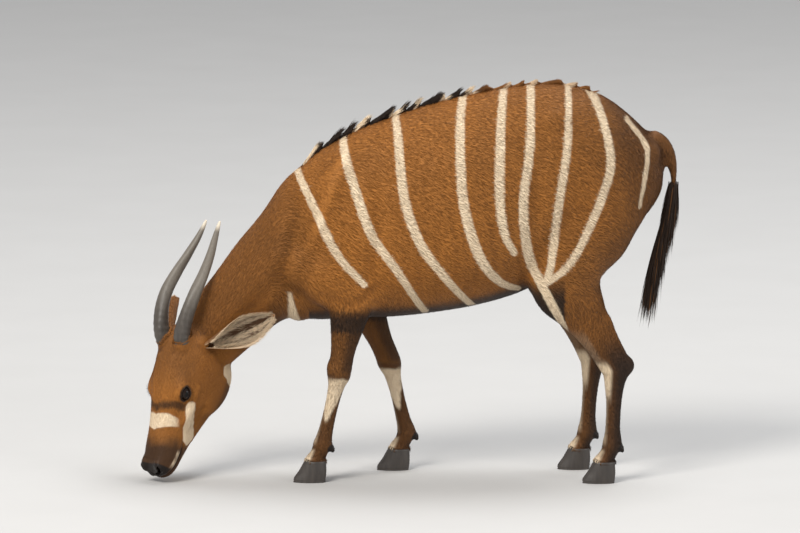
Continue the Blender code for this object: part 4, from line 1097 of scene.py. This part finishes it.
def hair_piece(name, material, roots, ahead, face, length, width, thick, bend, marks, flat, rings, sides,
               root_shade=0.0):
    """Closed, tapered tufts as one piece, each bent along `bend` and flat towards `face`.

    Its root is painted a browner shade than its tip by the last argument, as painted shade where the tufts
    meet the skin.
    """
    count = len(roots)
    width, thick = np.broadcast_to(width, count), np.broadcast_to(thick, count)
    across = unit(np.cross(ahead, face))
    face = np.cross(across, ahead)
    points = np.empty((count, rings * sides + 1, 3))
    for ring, share in enumerate(np.linspace(0, 1, rings + 1)[:-1]):
        middle = roots + ahead * (length * share)[:, None] + bend * share ** 2
        swell = (1 - share ** 1.6) * (0.55 + 0.45 * min(share * 4, 1)) if ring else 0.62
        for k in range(sides):
            angle = 2 * math.pi * (k + 0.25 * (sides % 2)) / sides
            offset = across * (math.cos(angle) * width * swell / 2)[:, None]
            offset = offset + face * (math.sin(angle) * thick * swell / 2)[:, None]
            points[:, ring * sides + k] = middle + offset
    points[:, -1] = roots + ahead * length[:, None] + bend
    pattern, map_pattern = tuft_pattern(rings, sides)
    stride = rings * sides + 1
    triangles = (pattern[None] + np.arange(count)[:, None, None] * stride).reshape(-1, 3)
    mesh = mesh_from_arrays(name, points.reshape(-1, 3), triangles)
    cells = (map_pattern[None] - 0.5) * 0.003 + flat[:, None, None, :]
    layer = mesh.uv_layers.new(name="OFBake")
    layer.data.foreach_set("uv", cells.astype(np.float32).ravel())
    marks = np.repeat(marks[:, None, :], stride, axis=1)
    # Painted shade: the root ring of every tuft is browned, as if shaded where the tuft meets the skin.
    marks[:, :sides, 2] = np.clip(marks[:, :sides, 2] + root_shade, 0, 1)
    add_marks(mesh, marks.reshape(-1, 4))
    mesh.materials.append(material)
    return object_from(name, mesh, BODY)


def columns_of(rows):
    """Each column of some rows as an array of its own."""
    return [np.array(part) for part in zip(*rows)]


def tuft_pattern(rings, sides):
    """The triangles of one tuft, and where their corners lie on its patch of the flat map."""
    pattern, places = [], []
    for ring in range(rings - 1):
        for k in range(sides):
            a, b = ring * sides + k, ring * sides + (k + 1) % sides
            c, d = a + sides, b + sides
            pattern += [(a, b, d), (a, d, c)]
            low, high = ring / rings, (ring + 1) / rings
            left, right = k / sides, (k + 1) / sides
            places += [((left, low), (right, low), (right, high)), ((left, low), (right, high), (left, high))]
    last = (rings - 1) * sides
    low = (rings - 1) / rings
    for k in range(sides):
        pattern.append((last + k, last + (k + 1) % sides, rings * sides))
        places.append(((k / sides, low), ((k + 1) / sides, low), ((k + 0.5) / sides, 1.0)))
    for k in range(1, sides - 1):
        pattern.append((0, k + 1, k))
        places.append(((0.0, 0.0), (0.3, 0.0), (0.3, 0.1)))
    return np.array(pattern), np.array(places)


def varied(marks, draw, change, spread):
    """The markings, with each tuft a little brighter or browner than the next and none of them bare."""
    marks[:, 2] = np.clip(marks[:, 2] + draw.normal(change, spread, len(marks)), 0, 1)
    marks[:, 3] = 0
    return marks


def strewn(draw, count, edge):
    """Random places on the flat map, away from its edges."""
    return np.stack([edge + (1 - 2 * edge) * draw.random(count) for _ in range(2)], 1)


def tree_of(*pieces):
    """The faces of some pieces, to find the nearest place on them."""
    points, faces = [], []
    for piece in pieces:
        start = len(points)
        points += [tuple(point) for point in points_of(piece.data)]
        faces += [tuple(start + corner for corner in face.vertices) for face in piece.data.polygons]
    return BVHTree.FromPolygons(points, faces)


def over_skin(tree, points):
    """The nearest place on the skin to each point, and the skin's normal there."""
    found = [tree.find_nearest(Vector(point)) for point in points]
    return np.array([hit[0] for hit in found]), np.array([hit[1] for hit in found])


def near(tree, point):
    """How deep a point lies in a body, and the nearest place on its surface with the way out there."""
    hit, out = tree.find_nearest(Vector(point))[:2]
    hit, out = np.array(hit), np.array(out)
    return (hit - point) @ out, hit, out


def coat_pieces(skin, tree, material):
    """The short coat, in pieces: each tuft lies along the skin, with its tip just over it."""
    roots, normals, flat = scattered(skin)
    draw = np.random.default_rng(8)
    clear = (markings(roots, normals)[:, 3] < 0.35) & (roots[:, 2] > HOOF_HEIGHT + 0.004)
    for side in SIDES:
        base = np.array(on_head(HORN_LINE[1], side))
        clear &= np.linalg.norm(roots - base, axis=1) > 0.020
    roots, normals, flat = roots[clear], normals[clear], flat[clear]
    count = len(roots)
    lies = lie_of(roots, normals)
    length, width, _ = coat_sizes(roots)
    length = length * draw.uniform(0.75, 1.25, count)
    width = width * draw.uniform(0.8, 1.2, count)
    lies = unit(lies + np.cross(normals, lies) * draw.normal(0, 0.12, count)[:, None])
    tips, over = over_skin(tree, roots + lies * length[:, None])
    stand = length * (draw.uniform(0.05, 0.13, count) + 0.10 * (draw.random(count) > 0.95)) + 0.0003
    tips += over * stand[:, None]
    sunk = roots - normals * (0.00025 + 0.17 * width)[:, None]
    ahead = tips - sunk
    length = np.linalg.norm(ahead, axis=1)
    ahead /= length[:, None]
    marks = varied(markings(roots * 0.4 + tips * 0.6, over, 1.0), draw, 0, 0.09)
    order = np.argsort(roots[:, 0], kind="stable")
    made = []
    for k, part in enumerate(np.array_split(order, max(1, math.ceil(count / TUFTS_IN_PIECE)))):
        straight = np.zeros((len(part), 3))
        # The last argument, 0.08, browns each tuft's root as painted shade at the skin.
        made.append(hair_piece(f"coat_{k + 1}", material, sunk[part], ahead[part], normals[part],
                               length[part], width[part], width[part] * 0.42, straight, marks[part],
                               flat[part], 1, 3, 0.08))
    return made


# Materials

def feed(tree, value, socket):
    """Gives a socket another one's value or a plain one."""
    if isinstance(value, bpy.types.NodeSocket):
        tree.links.new(value, socket)
    else:
        socket.default_value = value


def mixed(tree, share, first, second):
    """A colour between two, by a share."""
    node = tree.nodes.new("ShaderNodeMix")
    node.data_type = "RGBA"
    for at, value in ((0, share), (6, first), (7, second)):
        feed(tree, value, node.inputs[at])
    return node.outputs[2]


def reckoned(tree, operation, *values, clamp=False):
    node = tree.nodes.new("ShaderNodeMath")
    node.operation = operation
    node.use_clamp = clamp
    for value, socket in zip(values, node.inputs):
        feed(tree, value, socket)
    return node.outputs[0]


def marks_in(tree):
    """The mesh's markings as sockets: pale, dark, brown and bare."""
    attribute = tree.nodes.new("ShaderNodeAttribute")
    attribute.attribute_name = "marks"
    parts = tree.nodes.new("ShaderNodeSeparateColor")
    tree.links.new(attribute.outputs["Color"], parts.inputs[0])
    return (*parts.outputs, attribute.outputs["Alpha"])


def noise(tree, scale, detail=3.0, stretch=(1, 1, 1), rough=0.55):
    place = tree.nodes.new("ShaderNodeTexCoord")
    mapping = tree.nodes.new("ShaderNodeMapping")
    mapping.inputs["Scale"].default_value = stretch
    texture = tree.nodes.new("ShaderNodeTexNoise")
    texture.inputs["Scale"].default_value = scale
    texture.inputs["Detail"].default_value = detail
    texture.inputs["Roughness"].default_value = rough
    tree.links.new(place.outputs["Object"], mapping.inputs["Vector"])
    tree.links.new(mapping.outputs[0], texture.inputs["Vector"])
    return texture.outputs["Fac"]


def bumped(tree, shader, height, strength, distance):
    bump = tree.nodes.new("ShaderNodeBump")
    bump.inputs["Strength"].default_value = strength
    bump.inputs["Distance"].default_value = distance
    tree.links.new(height, bump.inputs["Height"])
    tree.links.new(bump.outputs[0], shader.inputs["Normal"])


def new_material(name, roughness, specular):
    material = bpy.data.materials.new(name)
    material.use_nodes = True
    tree = material.node_tree
    shader = tree.nodes["Principled BSDF"]
    shader.inputs["Roughness"].default_value = roughness
    shader.inputs["Specular IOR Level"].default_value = specular
    return material, tree, shader


BRIGHT_CHESTNUT = (0.430, 0.162, 0.027, 1)
DEEP_BROWN = (0.118, 0.046, 0.011, 1)
BLACK_BROWN = (0.012, 0.008, 0.006, 1)
CREAM = (0.82, 0.68, 0.49, 1)
TAN = (0.55, 0.36, 0.20, 1)


def coat_material(name, fibres):
    """Chestnut to deep brown, with black and cream where the markings say; fibres is the bump's strength."""
    material, tree, shader = new_material(name, 0.62, 0.20)
    pale, dark, brown, bare = marks_in(tree)
    patchy = noise(tree, 11.0, 4.0)
    fine = noise(tree, 320.0, 2.0, (0.35, 1, 1))
    depth = reckoned(tree, "ADD", brown, reckoned(tree, "MULTIPLY_ADD", patchy, 0.45, -0.22), clamp=True)
    coat = mixed(tree, depth, BRIGHT_CHESTNUT, DEEP_BROWN)
    shade = reckoned(tree, "MULTIPLY_ADD", fine, 0.5, -0.12)
    coat = mixed(tree, reckoned(tree, "MULTIPLY", shade, 0.8, clamp=True), coat, DEEP_BROWN)
    coat = mixed(tree, dark, coat, BLACK_BROWN)
    pale_colour = mixed(tree, reckoned(tree, "MULTIPLY", fine, 0.45, clamp=True), CREAM, TAN)
    feed(tree, mixed(tree, pale, coat, pale_colour), shader.inputs["Base Color"])
    feed(tree, reckoned(tree, "MULTIPLY_ADD", bare, -0.30, 0.62), shader.inputs["Roughness"])
    shader.inputs["Sheen Weight"].default_value = 0.03
    shader.inputs["Sheen Roughness"].default_value = 0.45
    if fibres:
        bumped(tree, shader, noise(tree, 260.0, 4.0, (0.22, 1, 0.9), 0.7), fibres, 0.0016)
    return material


def horn_material():
    """Dark grey-brown streaks along the horn, and a pale tip."""
    material, tree, shader = new_material("horn", 0.44, 0.35)
    streaks = noise(tree, 110.0, 6.0, (1, 1, 0.16), 0.7)
    base = mixed(tree, streaks, (0.016, 0.013, 0.011, 1), (0.120, 0.102, 0.086, 1))
    feed(tree, mixed(tree, marks_in(tree)[0], base, (0.66, 0.58, 0.46, 1)), shader.inputs["Base Color"])
    bumped(tree, shader, noise(tree, 240.0, 5.0, (1, 1, 0.22)), 0.55, 0.0012)
    return material


def hoof_material():
    """Nearly black horn, with fine streaks from top to bottom."""
    material, tree, shader = new_material("hoof", 0.42, 0.45)
    streaks = noise(tree, 90.0, 5.0, (1, 1, 0.15), 0.65)
    colour = mixed(tree, streaks, (0.016, 0.014, 0.013, 1), (0.075, 0.062, 0.052, 1))
    feed(tree, colour, shader.inputs["Base Color"])
    bumped(tree, shader, noise(tree, 300.0, 3.0, (0.3, 0.3, 1)), 0.3, 0.0008)
    return material


def eye_material():
    """A dark brown iris with a wide, level pupil under a wet front."""
    material, tree, shader = new_material("eye", 0.05, 0.22)
    white, pupil, _, _ = marks_in(tree)
    iris = mixed(tree, noise(tree, 700.0, 3.0), (0.016, 0.007, 0.004, 1), (0.007, 0.004, 0.003, 1))
    colour = mixed(tree, pupil, iris, (0.002, 0.002, 0.002, 1))
    feed(tree, mixed(tree, white, colour, (0.040, 0.022, 0.014, 1)), shader.inputs["Base Color"])
    return material


# Pieces

def place_all():
    """Moves every piece from the body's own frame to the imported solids'."""
    move = Matrix.Translation(SHIFT)
    for item in BODY.objects:
        item.data.transform(move)


def finished(piece, material, node, marks=None):
    """Gives a piece its markings and its material, and hides the solid it stands for."""
    if marks is not None:
        add_marks(piece.data, marks)
    piece.data.materials.append(material)
    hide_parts(node)
    return piece


def horn_rings(side, slices):
    """The rings of a horn with one open turn, a keel that winds round it, and low rings near its root."""
    rows = through([(*on_head(place, side),) for place in HORN_LINE], HORN_STEPS)
    lines = unit(np.gradient(rows, axis=0))
    rings = []
    for k, (place, line) in enumerate(zip(rows, lines)):
        share = k / (HORN_STEPS - 1)
        ahead = Vector(line)
        across = ahead.cross(HEAD_TURN @ X_AXIS).normalized()
        other = ahead.cross(across)
        radius = HORN_BASE_RADIUS * (1 - share) ** 0.62 + 0.0022
        radius *= 1 + 0.035 * math.sin(share * 150) * max(0.0, 1 - share * 2.2)
        keel = math.radians(40) + side * math.radians(260) * share
        ring = []
        for n in range(slices):
            angle = 2 * math.pi * n / slices
            swell = 1 + 0.16 * math.cos(angle - keel) ** 3
            ring.append(Vector(place) + (across * math.cos(angle) + other * math.sin(angle)) * radius * swell)
        rings.append(ring)
    return rings, rows, lines


def horn(side, material):
    rings, _, _ = horn_rings(side, 40)
    piece = loft(rings, f"horn_{SIDES[side]}_whole", BODY)
    shares = np.repeat(np.linspace(0, 1, len(rings)), len(rings[0]))
    pale = 0.80 * blend(0.90, 0.97, shares) + 0.14 * blend(0.2, 0.6, shares)
    zero = np.zeros(len(shares))
    marks = np.stack([np.clip(pale, 0, 1), zero, zero, zero], 1)
    return finished(piece, material, f"horn_{SIDES[side]}", marks)


def horn_hair(side, tree, material):
    """Short hair that grows up round the root of a horn and hides where it leaves the skin."""
    draw = np.random.default_rng(90 + side)
    rings, middles, lines = horn_rings(side, HORN_PLACES)
    rows = []
    for n in range(HORN_PLACES):
        for ring, middle, line in zip(rings[:48], middles, lines):
            place, normal = over_skin(tree, [ring[n]])
            if (np.array(ring[n]) - place[0]) @ normal[0] > 0.0004:
                break
        out = unit(np.array(ring[n]) - middle)
        for _ in range(5):
            apart = 0.0012 + 0.0100 * draw.random() ** 1.4
            place, normal = over_skin(tree, [np.array(ring[n]) + out * apart])
            ahead = line * 0.42 + normal[0] * 0.10 + out * (0.10 - 32 * apart)
            ahead = ahead + np.cross(line, out) * draw.normal(0, 0.2)
            rows.append((place[0] - normal[0] * 0.0006, ahead, unit(out * 0.5 + normal[0])))
    roots, ahead, face = columns_of(rows)
    length = draw.uniform(0.006, 0.011, len(roots))
    # Painted light: the hair round each horn's root is made a little brighter than the coat, to lift the shade
    # that gathers in this collar.
    marks = varied(markings(roots, face), draw, -0.06, 0.08)
    return hair_piece(f"horn_hair_{SIDES[side]}", material, roots, unit(ahead), face, length, 0.0014, 0.0006,
                      face * (length * 0.06)[:, None], marks, strewn(draw, len(roots), 0.1), 2, 3)


def hoof(joints, across, node, material):
    """One half of a cloven hoof, with low growth rings."""
    coronet = Vector(joints[4])
    middle = across * (HOOF_WIDTH + CLAW_GAP) / 2
    levels = through(((0.0, 0.98, 0.98, -0.001), (0.0015, 1.0, 1.0, -0.002), (0.010, 0.99, 1.0, 0.0),
                      (0.030, 0.86, 0.95, 0.008), (HOOF_HEIGHT - 0.002, 0.70, 0.86, 0.014),
                      (HOOF_HEIGHT + 0.006, 0.62, 0.80, 0.016)), 36)
    rings = []
    for height, long, wide, back in levels:
        wave = 1 + 0.010 * math.sin(height * 900)
        ring = []
        for k in range(48):
            angle = 2 * math.pi * k / 48
            reach = math.cos(angle)
            width = math.sin(angle) * (1 - 0.42 * max(reach, 0) ** 2) * wave
            ring.append(Vector((coronet.x - 0.014 + back - reach * long * wave * HOOF_LENGTH / 2,
                                coronet.y + middle + width * wide * HOOF_WIDTH / 2, max(height, 0.0))))
        rings.append(ring)
    piece = loft(rings, f"claw_{node}", BODY)
    piece.data.set_sharp_from_angle(angle=math.radians(50))
    return finished(piece, material, f"hoof_{node}")


def coronet_hair(tree, hooves, material):
    """Short hair that hangs over the top edge of every hoof, and clear of the hoof below it."""
    horny = tree_of(*hooves)
    draw = np.random.default_rng(101)
    rows = []
    for joints in (*FORE_JOINTS.values(), *HIND_JOINTS.values()):
        for n in range(CORONET_TUFTS):
            angle = 2 * math.pi * n / CORONET_TUFTS
            out = np.array([-math.cos(angle), math.sin(angle), 0.0])
            height = HOOF_HEIGHT + draw.uniform(0.002, 0.012)
            coronet = Vector(joints[4])
            place, normal = over_skin(tree, [np.array([coronet.x, coronet.y, height]) + out * 0.038])
            root = place[0] - normal[0] * 0.0006
            slope = 0.52 + 0.28 * abs(math.cos(angle))
            way = unit(out * slope + np.array([draw.normal(0, 0.08), draw.normal(0, 0.08), -1.0]))
            tip = root + way * draw.uniform(0.010, 0.017)
            if near(horny, root)[0] > 0.0004:
                continue
            depth, hit, hoof_out = near(horny, tip)
            if depth > -0.0010:
                tip = hit + hoof_out * 0.0010
            rows.append((root, tip - root, out))
    roots, ahead, face = columns_of(rows)
    length = np.linalg.norm(ahead, axis=1)
    bend = face * (length * -0.30)[:, None]
    marks = varied(markings(roots, face), draw, 0, 0.08)
    return hair_piece("coronet_hair", material, roots, unit(ahead - bend), face, length, 0.0019, 0.0009, bend,
                      marks, strewn(draw, len(roots), 0.1), 3, 3)


def eyeball(side, material):
    """An eyeball with a slightly fuller front, its iris and level pupil marked on it."""
    look, long, tall = eye_axes(side)
    turn = Matrix((long, tall, look)).transposed()
    item = ball(Vector((0, 0, 0)), [EYE_RADIUS] * 3, name="eyeball", segments=72)
    points = points_of(item.data)
    u, v, w = (points / EYE_RADIUS).T
    iris = np.sqrt(u * u + v * v)
    front = w > 0
    points = points * (1 + 0.035 * front * blend(0.70, 0.30, iris))[:, None]
    pupil = front * blend(1.12, 0.98, (np.abs(u / 0.34) ** 3 + np.abs(v / 0.17) ** 3) ** (1 / 3))
    rim = front * blend(0.60, 0.68, iris) * 0.8
    white = blend(0.80, 0.90, iris) + (~front)
    zero = np.zeros(len(points))
    put_points(item.data, points @ np.array(turn).T + np.array(on_head(EYE_PLACE, side)))
    item.data.shade_smooth()
    WORK.objects.unlink(item)
    BODY.objects.link(item)
    item.name = f"eyeball_{SIDES[side]}"
    marks = np.clip(np.stack([white, np.maximum(pupil, rim), zero, zero], 1), 0, 1)
    return finished(item, material, f"eye_{SIDES[side]}", marks)


def ear_axes(side):
    """The ear's own frame: from root to tip, across, and the way the cup opens."""
    across, along, above = EAR_REACH[side]
    reach = (HEAD_TURN @ Vector((-side * across, along, above))).normalized()
    opening = HEAD_TURN @ Vector((-side * 0.30, 0.62, 0.55))
    opening = (opening - reach * opening.dot(reach)).normalized()
    across = reach.cross(opening).normalized()
    return reach, across, opening


def ear_point(side, share, turn_share):
    """A place on the ear's middle sheet, and the way out of the cup there."""
    reach, across, opening = ear_axes(side)
    root = on_head(EAR_PLACE, side) + reach * 0.008
    width = EAR_WIDTH * (0.34 + 0.66 * math.sin(math.pi * min(share / 1.10 + 0.06, 1.0)) ** 0.8)
    if share > 0.55:
        width *= math.sqrt(max(1 - ((share - 0.55) / 0.4505) ** 2, 0.0015))
    roll = math.radians(150 - 92 * min(max(share, 0.0) / 0.60, 1.0) ** 0.8)
    bend = 0.020 * share ** 2
    radius = width / 2 / roll
    angle = roll * turn_share
    away = across * math.sin(angle) - opening * math.cos(angle)
    place = root + reach * (share * EAR_LENGTH) + opening * (radius - bend) + away * radius
    return place, -away


def ear(side, material):
    """A thin, leaf-shaped cup with a rounded edge, pale inside its rim and dark in its middle."""
    steps, slices = 56, 40
    rings, marks = [], []
    for k in range(steps + 1):
        share = -0.06 + 1.06 * k / steps
        thick = 0.0009 + 0.0009 * (1 - max(share, 0))
        tip = 1 - min(max((share - 0.90) / 0.06, 0), 1)
        inner, outer, inner_marks, outer_marks = [], [], [], []
        for n in range(slices + 1):
            turn_share = 2 * n / slices - 1
            edge = math.sqrt(max(1 - turn_share ** 8, 0.0))
            fold = 0.0016 * math.exp(-((abs(turn_share) - 0.45) / 0.12) ** 2)
            fold *= math.sin(math.pi * min(max(share, 0), 1))
            place, out = ear_point(side, share, turn_share)
            inner.append(place + out * (thick * edge + fold))
            outer.append(place - out * thick * edge)
            rim = abs(turn_share) ** 6
            inner_marks.append((0.85 * rim, 0.80 * tip * (1 - rim), 0.6, 0))
            outer_marks.append((0.3 * rim, 0.20 + 0.4 * (1 - tip), 0.65, 0))
        rings.append(inner + outer[::-1])
        marks += inner_marks + outer_marks[::-1]
    piece = loft(rings, f"pinna_{SIDES[side]}", BODY)
    return finished(piece, material, f"ear_{SIDES[side]}", np.array(marks))


def ear_hair(side, material):
    """Rows of long white hair inside the cup, a pale fringe on its edges, and short brown hair behind."""
    draw = np.random.default_rng(40 + side)
    reach = np.array(ear_axes(side)[0])
    rows = []
    for n in range(EAR_TUFTS):
        inside = n % 2 == 0
        share = draw.uniform(0.02, 0.93)
        if inside:
            turn_share = draw.choice((-0.78, -0.40, 0.30, 0.72)) + draw.normal(0, 0.09)
        else:
            turn_share = draw.uniform(-0.97, 0.97)
        place, out = ear_point(side, share, turn_share)
        place, out = np.array(place), np.array(out) * (1 if inside else -1)
        away = reach * 0.9 + np.cross(reach, out) * draw.normal(0, 0.22)
        if inside:
            length = draw.uniform(0.014, 0.032) * (1.1 - 0.5 * share)
            rows.append((place + out * 0.0008, unit(away + out * 0.26), out, length, 0.0010, 0.95, 0.0, 0.30))
        else:
            length = draw.uniform(0.008, 0.014)
            tone = 0.45 + draw.normal(0, 0.1)
            root = place + out * (0.0008 + 0.0009 * (1 - share))
            rows.append((root, unit(away + out * 0.20), out, length, 0.0021, 0.0, 0.12, tone))
    for n in range(EAR_FRINGE):
        share = draw.uniform(0.05, 0.97)
        sign = draw.choice((-1.0, 1.0))
        place, out = ear_point(side, share, sign * 0.985)
        edge = np.array(ear_point(side, share, sign)[0] - ear_point(side, share, sign * 0.9)[0])
        away = unit(reach * 0.75 + unit(edge) * 0.5)
        length = draw.uniform(0.007, 0.016)
        rows.append((np.array(place), away, np.array(out), length, 0.0011, 0.85, 0.0, 0.3))
    roots, ahead, face, length, width, *marks = columns_of(rows)
    marks = np.clip(np.stack([*marks, np.zeros(len(roots))], 1), 0, 1)
    bend = -face * (length * 0.07)[:, None]
    return hair_piece(f"ear_hair_{SIDES[side]}", material, roots, unit(ahead), face, length, width,
                      width * 0.5, bend, marks, strewn(draw, len(roots), 0.2), 3, 3)


def trunk_top(x):
    stations = through(TRUNK, 120)
    return np.interp(x, stations[:, 0], stations[:, 1])


def mane(material):
    """The short, upright crest, black between the stripes and white where they cross it."""
    draw = np.random.default_rng(61)
    count = MANE_TUFTS
    share = draw.random(count) ** 0.9
    x = -0.470 + 0.850 * share
    y = draw.normal(0, 0.0065, count)
    top = trunk_top(x)
    slope = (trunk_top(x + 0.02) - trunk_top(x - 0.02)) / 0.04
    phase = x * 125 + 1.4 * np.sin(x * 37)
    clumps = 0.5 + 0.5 * np.sin(phase)
    astray = ((phase - math.pi / 2 + math.pi) % (2 * math.pi) - math.pi) / 125
    length = MANE_LENGTH * (1.0 - 0.60 * share) * (0.60 + 0.46 * clumps) * draw.uniform(0.80, 1.08, count)
    length *= blend(-0.47, -0.43, x) * 0.5 + 0.5
    ahead = np.stack([0.56 + draw.normal(0, 0.09, count), y * 26 + draw.normal(0, 0.09, count),
                      0.80 + 0.6 * slope], 1)
    roots = np.stack([x, y, top - COAT_DEPTH - 0.004 - 12 * y * y], 1)
    white = np.zeros(count)
    for _, line in STRIPES[:7]:
        white = np.maximum(white, blend(0.016, 0.009, np.abs(x - line[0][0])))
    for place in (-0.1375, -0.058):
        white = np.maximum(white, 0.9 * blend(0.011, 0.006, np.abs(x - place)))
    fade = blend(-0.02, 0.10, x)
    dark = (1 - white) * (0.97 - 0.75 * fade)
    length *= 1 - 0.35 * fade
    marks = np.stack([white * (1 - 0.4 * fade), dark, 0.6 + draw.normal(0, 0.1, count), np.zeros(count)], 1)
    bend = np.stack([length * 0.26 - 0.6 * astray, y * 0.6, -length * 0.10], 1)
    flat = np.stack([0.05 + 0.9 * share, np.full(count, 0.5)], 1)
    face = np.tile(np.array(Y_AXIS), (count, 1))
    return hair_piece("mane", material, roots, unit(ahead), face, length, 0.0030, 0.0016, bend,
                      np.clip(marks, 0, 1), flat, 4, 4)


def tail_tuft(material):
    """The long black locks of the tail's end."""
    draw = np.random.default_rng(71)
    count = TAIL_TUFTS
    line = through(TAIL_LINE, 201)
    share = 0.42 + 0.57 * draw.random(count)
    row = line[(share * 200).astype(int)]
    angle = draw.uniform(0, 2 * math.pi, count)
    out = np.stack([np.cos(angle), np.sin(angle), np.zeros(count)], 1)
    roots = row[:, :3] + out * (row[:, 3:4] * 0.75)
    length = TUFT_LENGTH * (0.30 + 0.55 * share) * draw.uniform(0.70, 1.06, count)
    lean = 0.16 * draw.random(count)[:, None]
    ahead = unit(np.array([-0.10, 0.0, -1.0]) + out * (0.05 + lean))
    bend = -out * (length * 0.07)[:, None] + np.array([-0.004, 0, -0.004])
    marks = np.stack([np.zeros(count), np.clip(0.93 - 0.5 * (draw.random(count) > 0.9), 0, 1),
                      np.full(count, 0.8), np.zeros(count)], 1)
    flat = np.stack([0.1 + 0.8 * share, angle / 8 + 0.1], 1)
    low = roots[:, 2] + length * ahead[:, 2]
    length = np.where(low < 0.365, length * 0.8, length)
    return hair_piece("tail_tuft", material, roots, ahead, out, length, 0.0042, 0.0018, bend, marks, flat,
                      6, 4)


def lashes(material):
    """A row of dark lashes on each upper lid."""
    rows = []
    draw = np.random.default_rng(81)
    for side in SIDES:
        centre = np.array(on_head(EYE_PLACE, side))
        look, long, tall = (np.array(axis) for axis in eye_axes(side))
        for n in range(LASHES):
            angle = math.radians(20 + 140 * n / (LASHES - 1))
            stretch = 1.16 if math.cos(angle) > 0 else 1.0
            flat = long * (LID_LENGTH / 2 * stretch * math.cos(angle)) * 1.02
            flat = flat + tall * (LID_HEIGHT / 2 * math.sin(angle) ** 1.25) * 1.06
            reach = math.sqrt(max(EYE_RADIUS ** 2 - flat @ flat, 1e-6))
            middle = flat + look * (reach + 0.0014)
            away = unit(unit(middle) * 0.9 + unit(flat) * 0.35 + tall * 0.10 + long * draw.normal(0, 0.08))
            rows.append((centre + middle, away, tall, draw.uniform(0.007, 0.011)))
    roots, ahead, face, length = columns_of(rows)
    count = len(roots)
    marks = np.tile(np.array([0.0, 1.0, 0.8, 0.0]), (count, 1))
    bend = face * (length * 0.35)[:, None]
    flat = np.stack([np.linspace(0.3, 0.6, count), np.full(count, 0.4)], 1)
    return hair_piece("lashes", material, roots, ahead, face, length, 0.0011, 0.0008, bend, marks, flat, 4, 3)


FLESH_NODES = ["torso", "neck", "head", "tail"]
for end in ("fore", "hind"):
    for word in SIDES.values():
        FLESH_NODES += [f"{end}leg_{word}_upper", f"{end}leg_{word}_lower"]


def dress():
    """Makes every piece, and hides the solids that they stand for."""
    coat, fur = coat_material("coat", 0.55), coat_material("fur", 0.0)
    horny, hooves, eyes = horn_material(), hoof_material(), eye_material()
    skin = body_skin()
    unwrap(skin)
    add_marks(skin.data, markings(points_of(skin.data), normals_of(skin.data)))
    skin.data.materials.append(coat)
    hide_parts(*FLESH_NODES)
    tree = tree_of(skin)
    slots = {"coat": [skin], "horn": [], "hoof": [], "eye": []}
    slots["coat"] += coat_pieces(skin, tree, fur)
    for side, word in SIDES.items():
        slots["horn"].append(horn(side, horny))
        slots["eye"].append(eyeball(side, eyes))
        slots["coat"] += [horn_hair(side, tree, fur), ear(side, coat), ear_hair(side, fur)]
        for legs, joints in (("fore", FORE_JOINTS[side]), ("hind", HIND_JOINTS[side])):
            for across, half in ((-1, "a"), (1, "b")):
                slots["hoof"].append(hoof(joints, across, f"{legs}_{word}_{half}", hooves))
    slots["coat"] += [coronet_hair(tree, slots["hoof"], fur), mane(fur), tail_tuft(fur), lashes(fur)]
    place_all()
    for slot, pieces in slots.items():
        for piece in pieces:
            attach(piece, "root")


# The room

def floor():
    shape = bmesh.new()
    bmesh.ops.create_grid(shape, x_segments=1, y_segments=1, size=60)
    item = object_of_shape(shape, "floor", bpy.context.scene.collection)
    material, tree, shader = new_material("floor", 0.9, 0.1)
    colour = mixed(tree, noise(tree, 3.0), (0.50, 0.49, 0.475, 1), (0.53, 0.52, 0.505, 1))
    feed(tree, colour, shader.inputs["Base Color"])
    item.data.materials.append(material)


def soft_light(name, place, target, size, power, colour=(1, 1, 1)):
    light = bpy.data.lights.new(name, "AREA")
    light.size = size
    light.energy = power
    light.color = colour
    item = bpy.data.objects.new(name, light)
    item.location = place
    item.rotation_euler = (Vector(target) - Vector(place)).to_track_quat("-Z", "Y").to_euler()
    bpy.context.scene.collection.objects.link(item)


def studio():
    world = bpy.data.worlds.new("studio")
    bpy.context.scene.world = world
    world.use_nodes = True
    world.node_tree.nodes["Background"].inputs[0].default_value = (0.94, 0.96, 1.0, 1)
    world.node_tree.nodes["Background"].inputs[1].default_value = 0.56
    soft_light("key", (-5.6, -8.4, 9.6), (0, 0, 0.6), 5.0, 1600, (1.0, 0.97, 0.92))
    soft_light("top", (3.0, 3.0, 11.0), (0, 0, 0.6), 6.0, 900, (0.96, 0.98, 1.0))
    soft_light("fill", (9.0, -7.5, 4.0), (0, 0, 0.5), 5.0, 320)
    bpy.context.scene.view_settings.view_transform = "Standard"


# Camera: level with the photograph's, far off with a long lens
CAMERA_AIM = Vector((-0.177, -0.12, 0.632))
CAMERA_WIDTH = 2.3125
CAMERA_RISE = math.radians(8.5)
CAMERA_LENS = 400.0
CAMERA_SENSOR = 36.0


def camera():
    data = bpy.data.cameras.new("camera")
    data.lens = CAMERA_LENS
    data.sensor_width = CAMERA_SENSOR
    distance = CAMERA_WIDTH * CAMERA_LENS / CAMERA_SENSOR
    data.clip_end = 200.0
    item = bpy.data.objects.new("camera", data)
    back = Vector((0, -math.cos(CAMERA_RISE), math.sin(CAMERA_RISE)))
    item.location = CAMERA_AIM + SHIFT + back * distance
    item.rotation_euler = back.to_track_quat("Z", "Y").to_euler()
    bpy.context.scene.collection.objects.link(item)
    bpy.context.scene.camera = item


dress()
bpy.data.collections.remove(WORK)
floor()
studio()
camera()
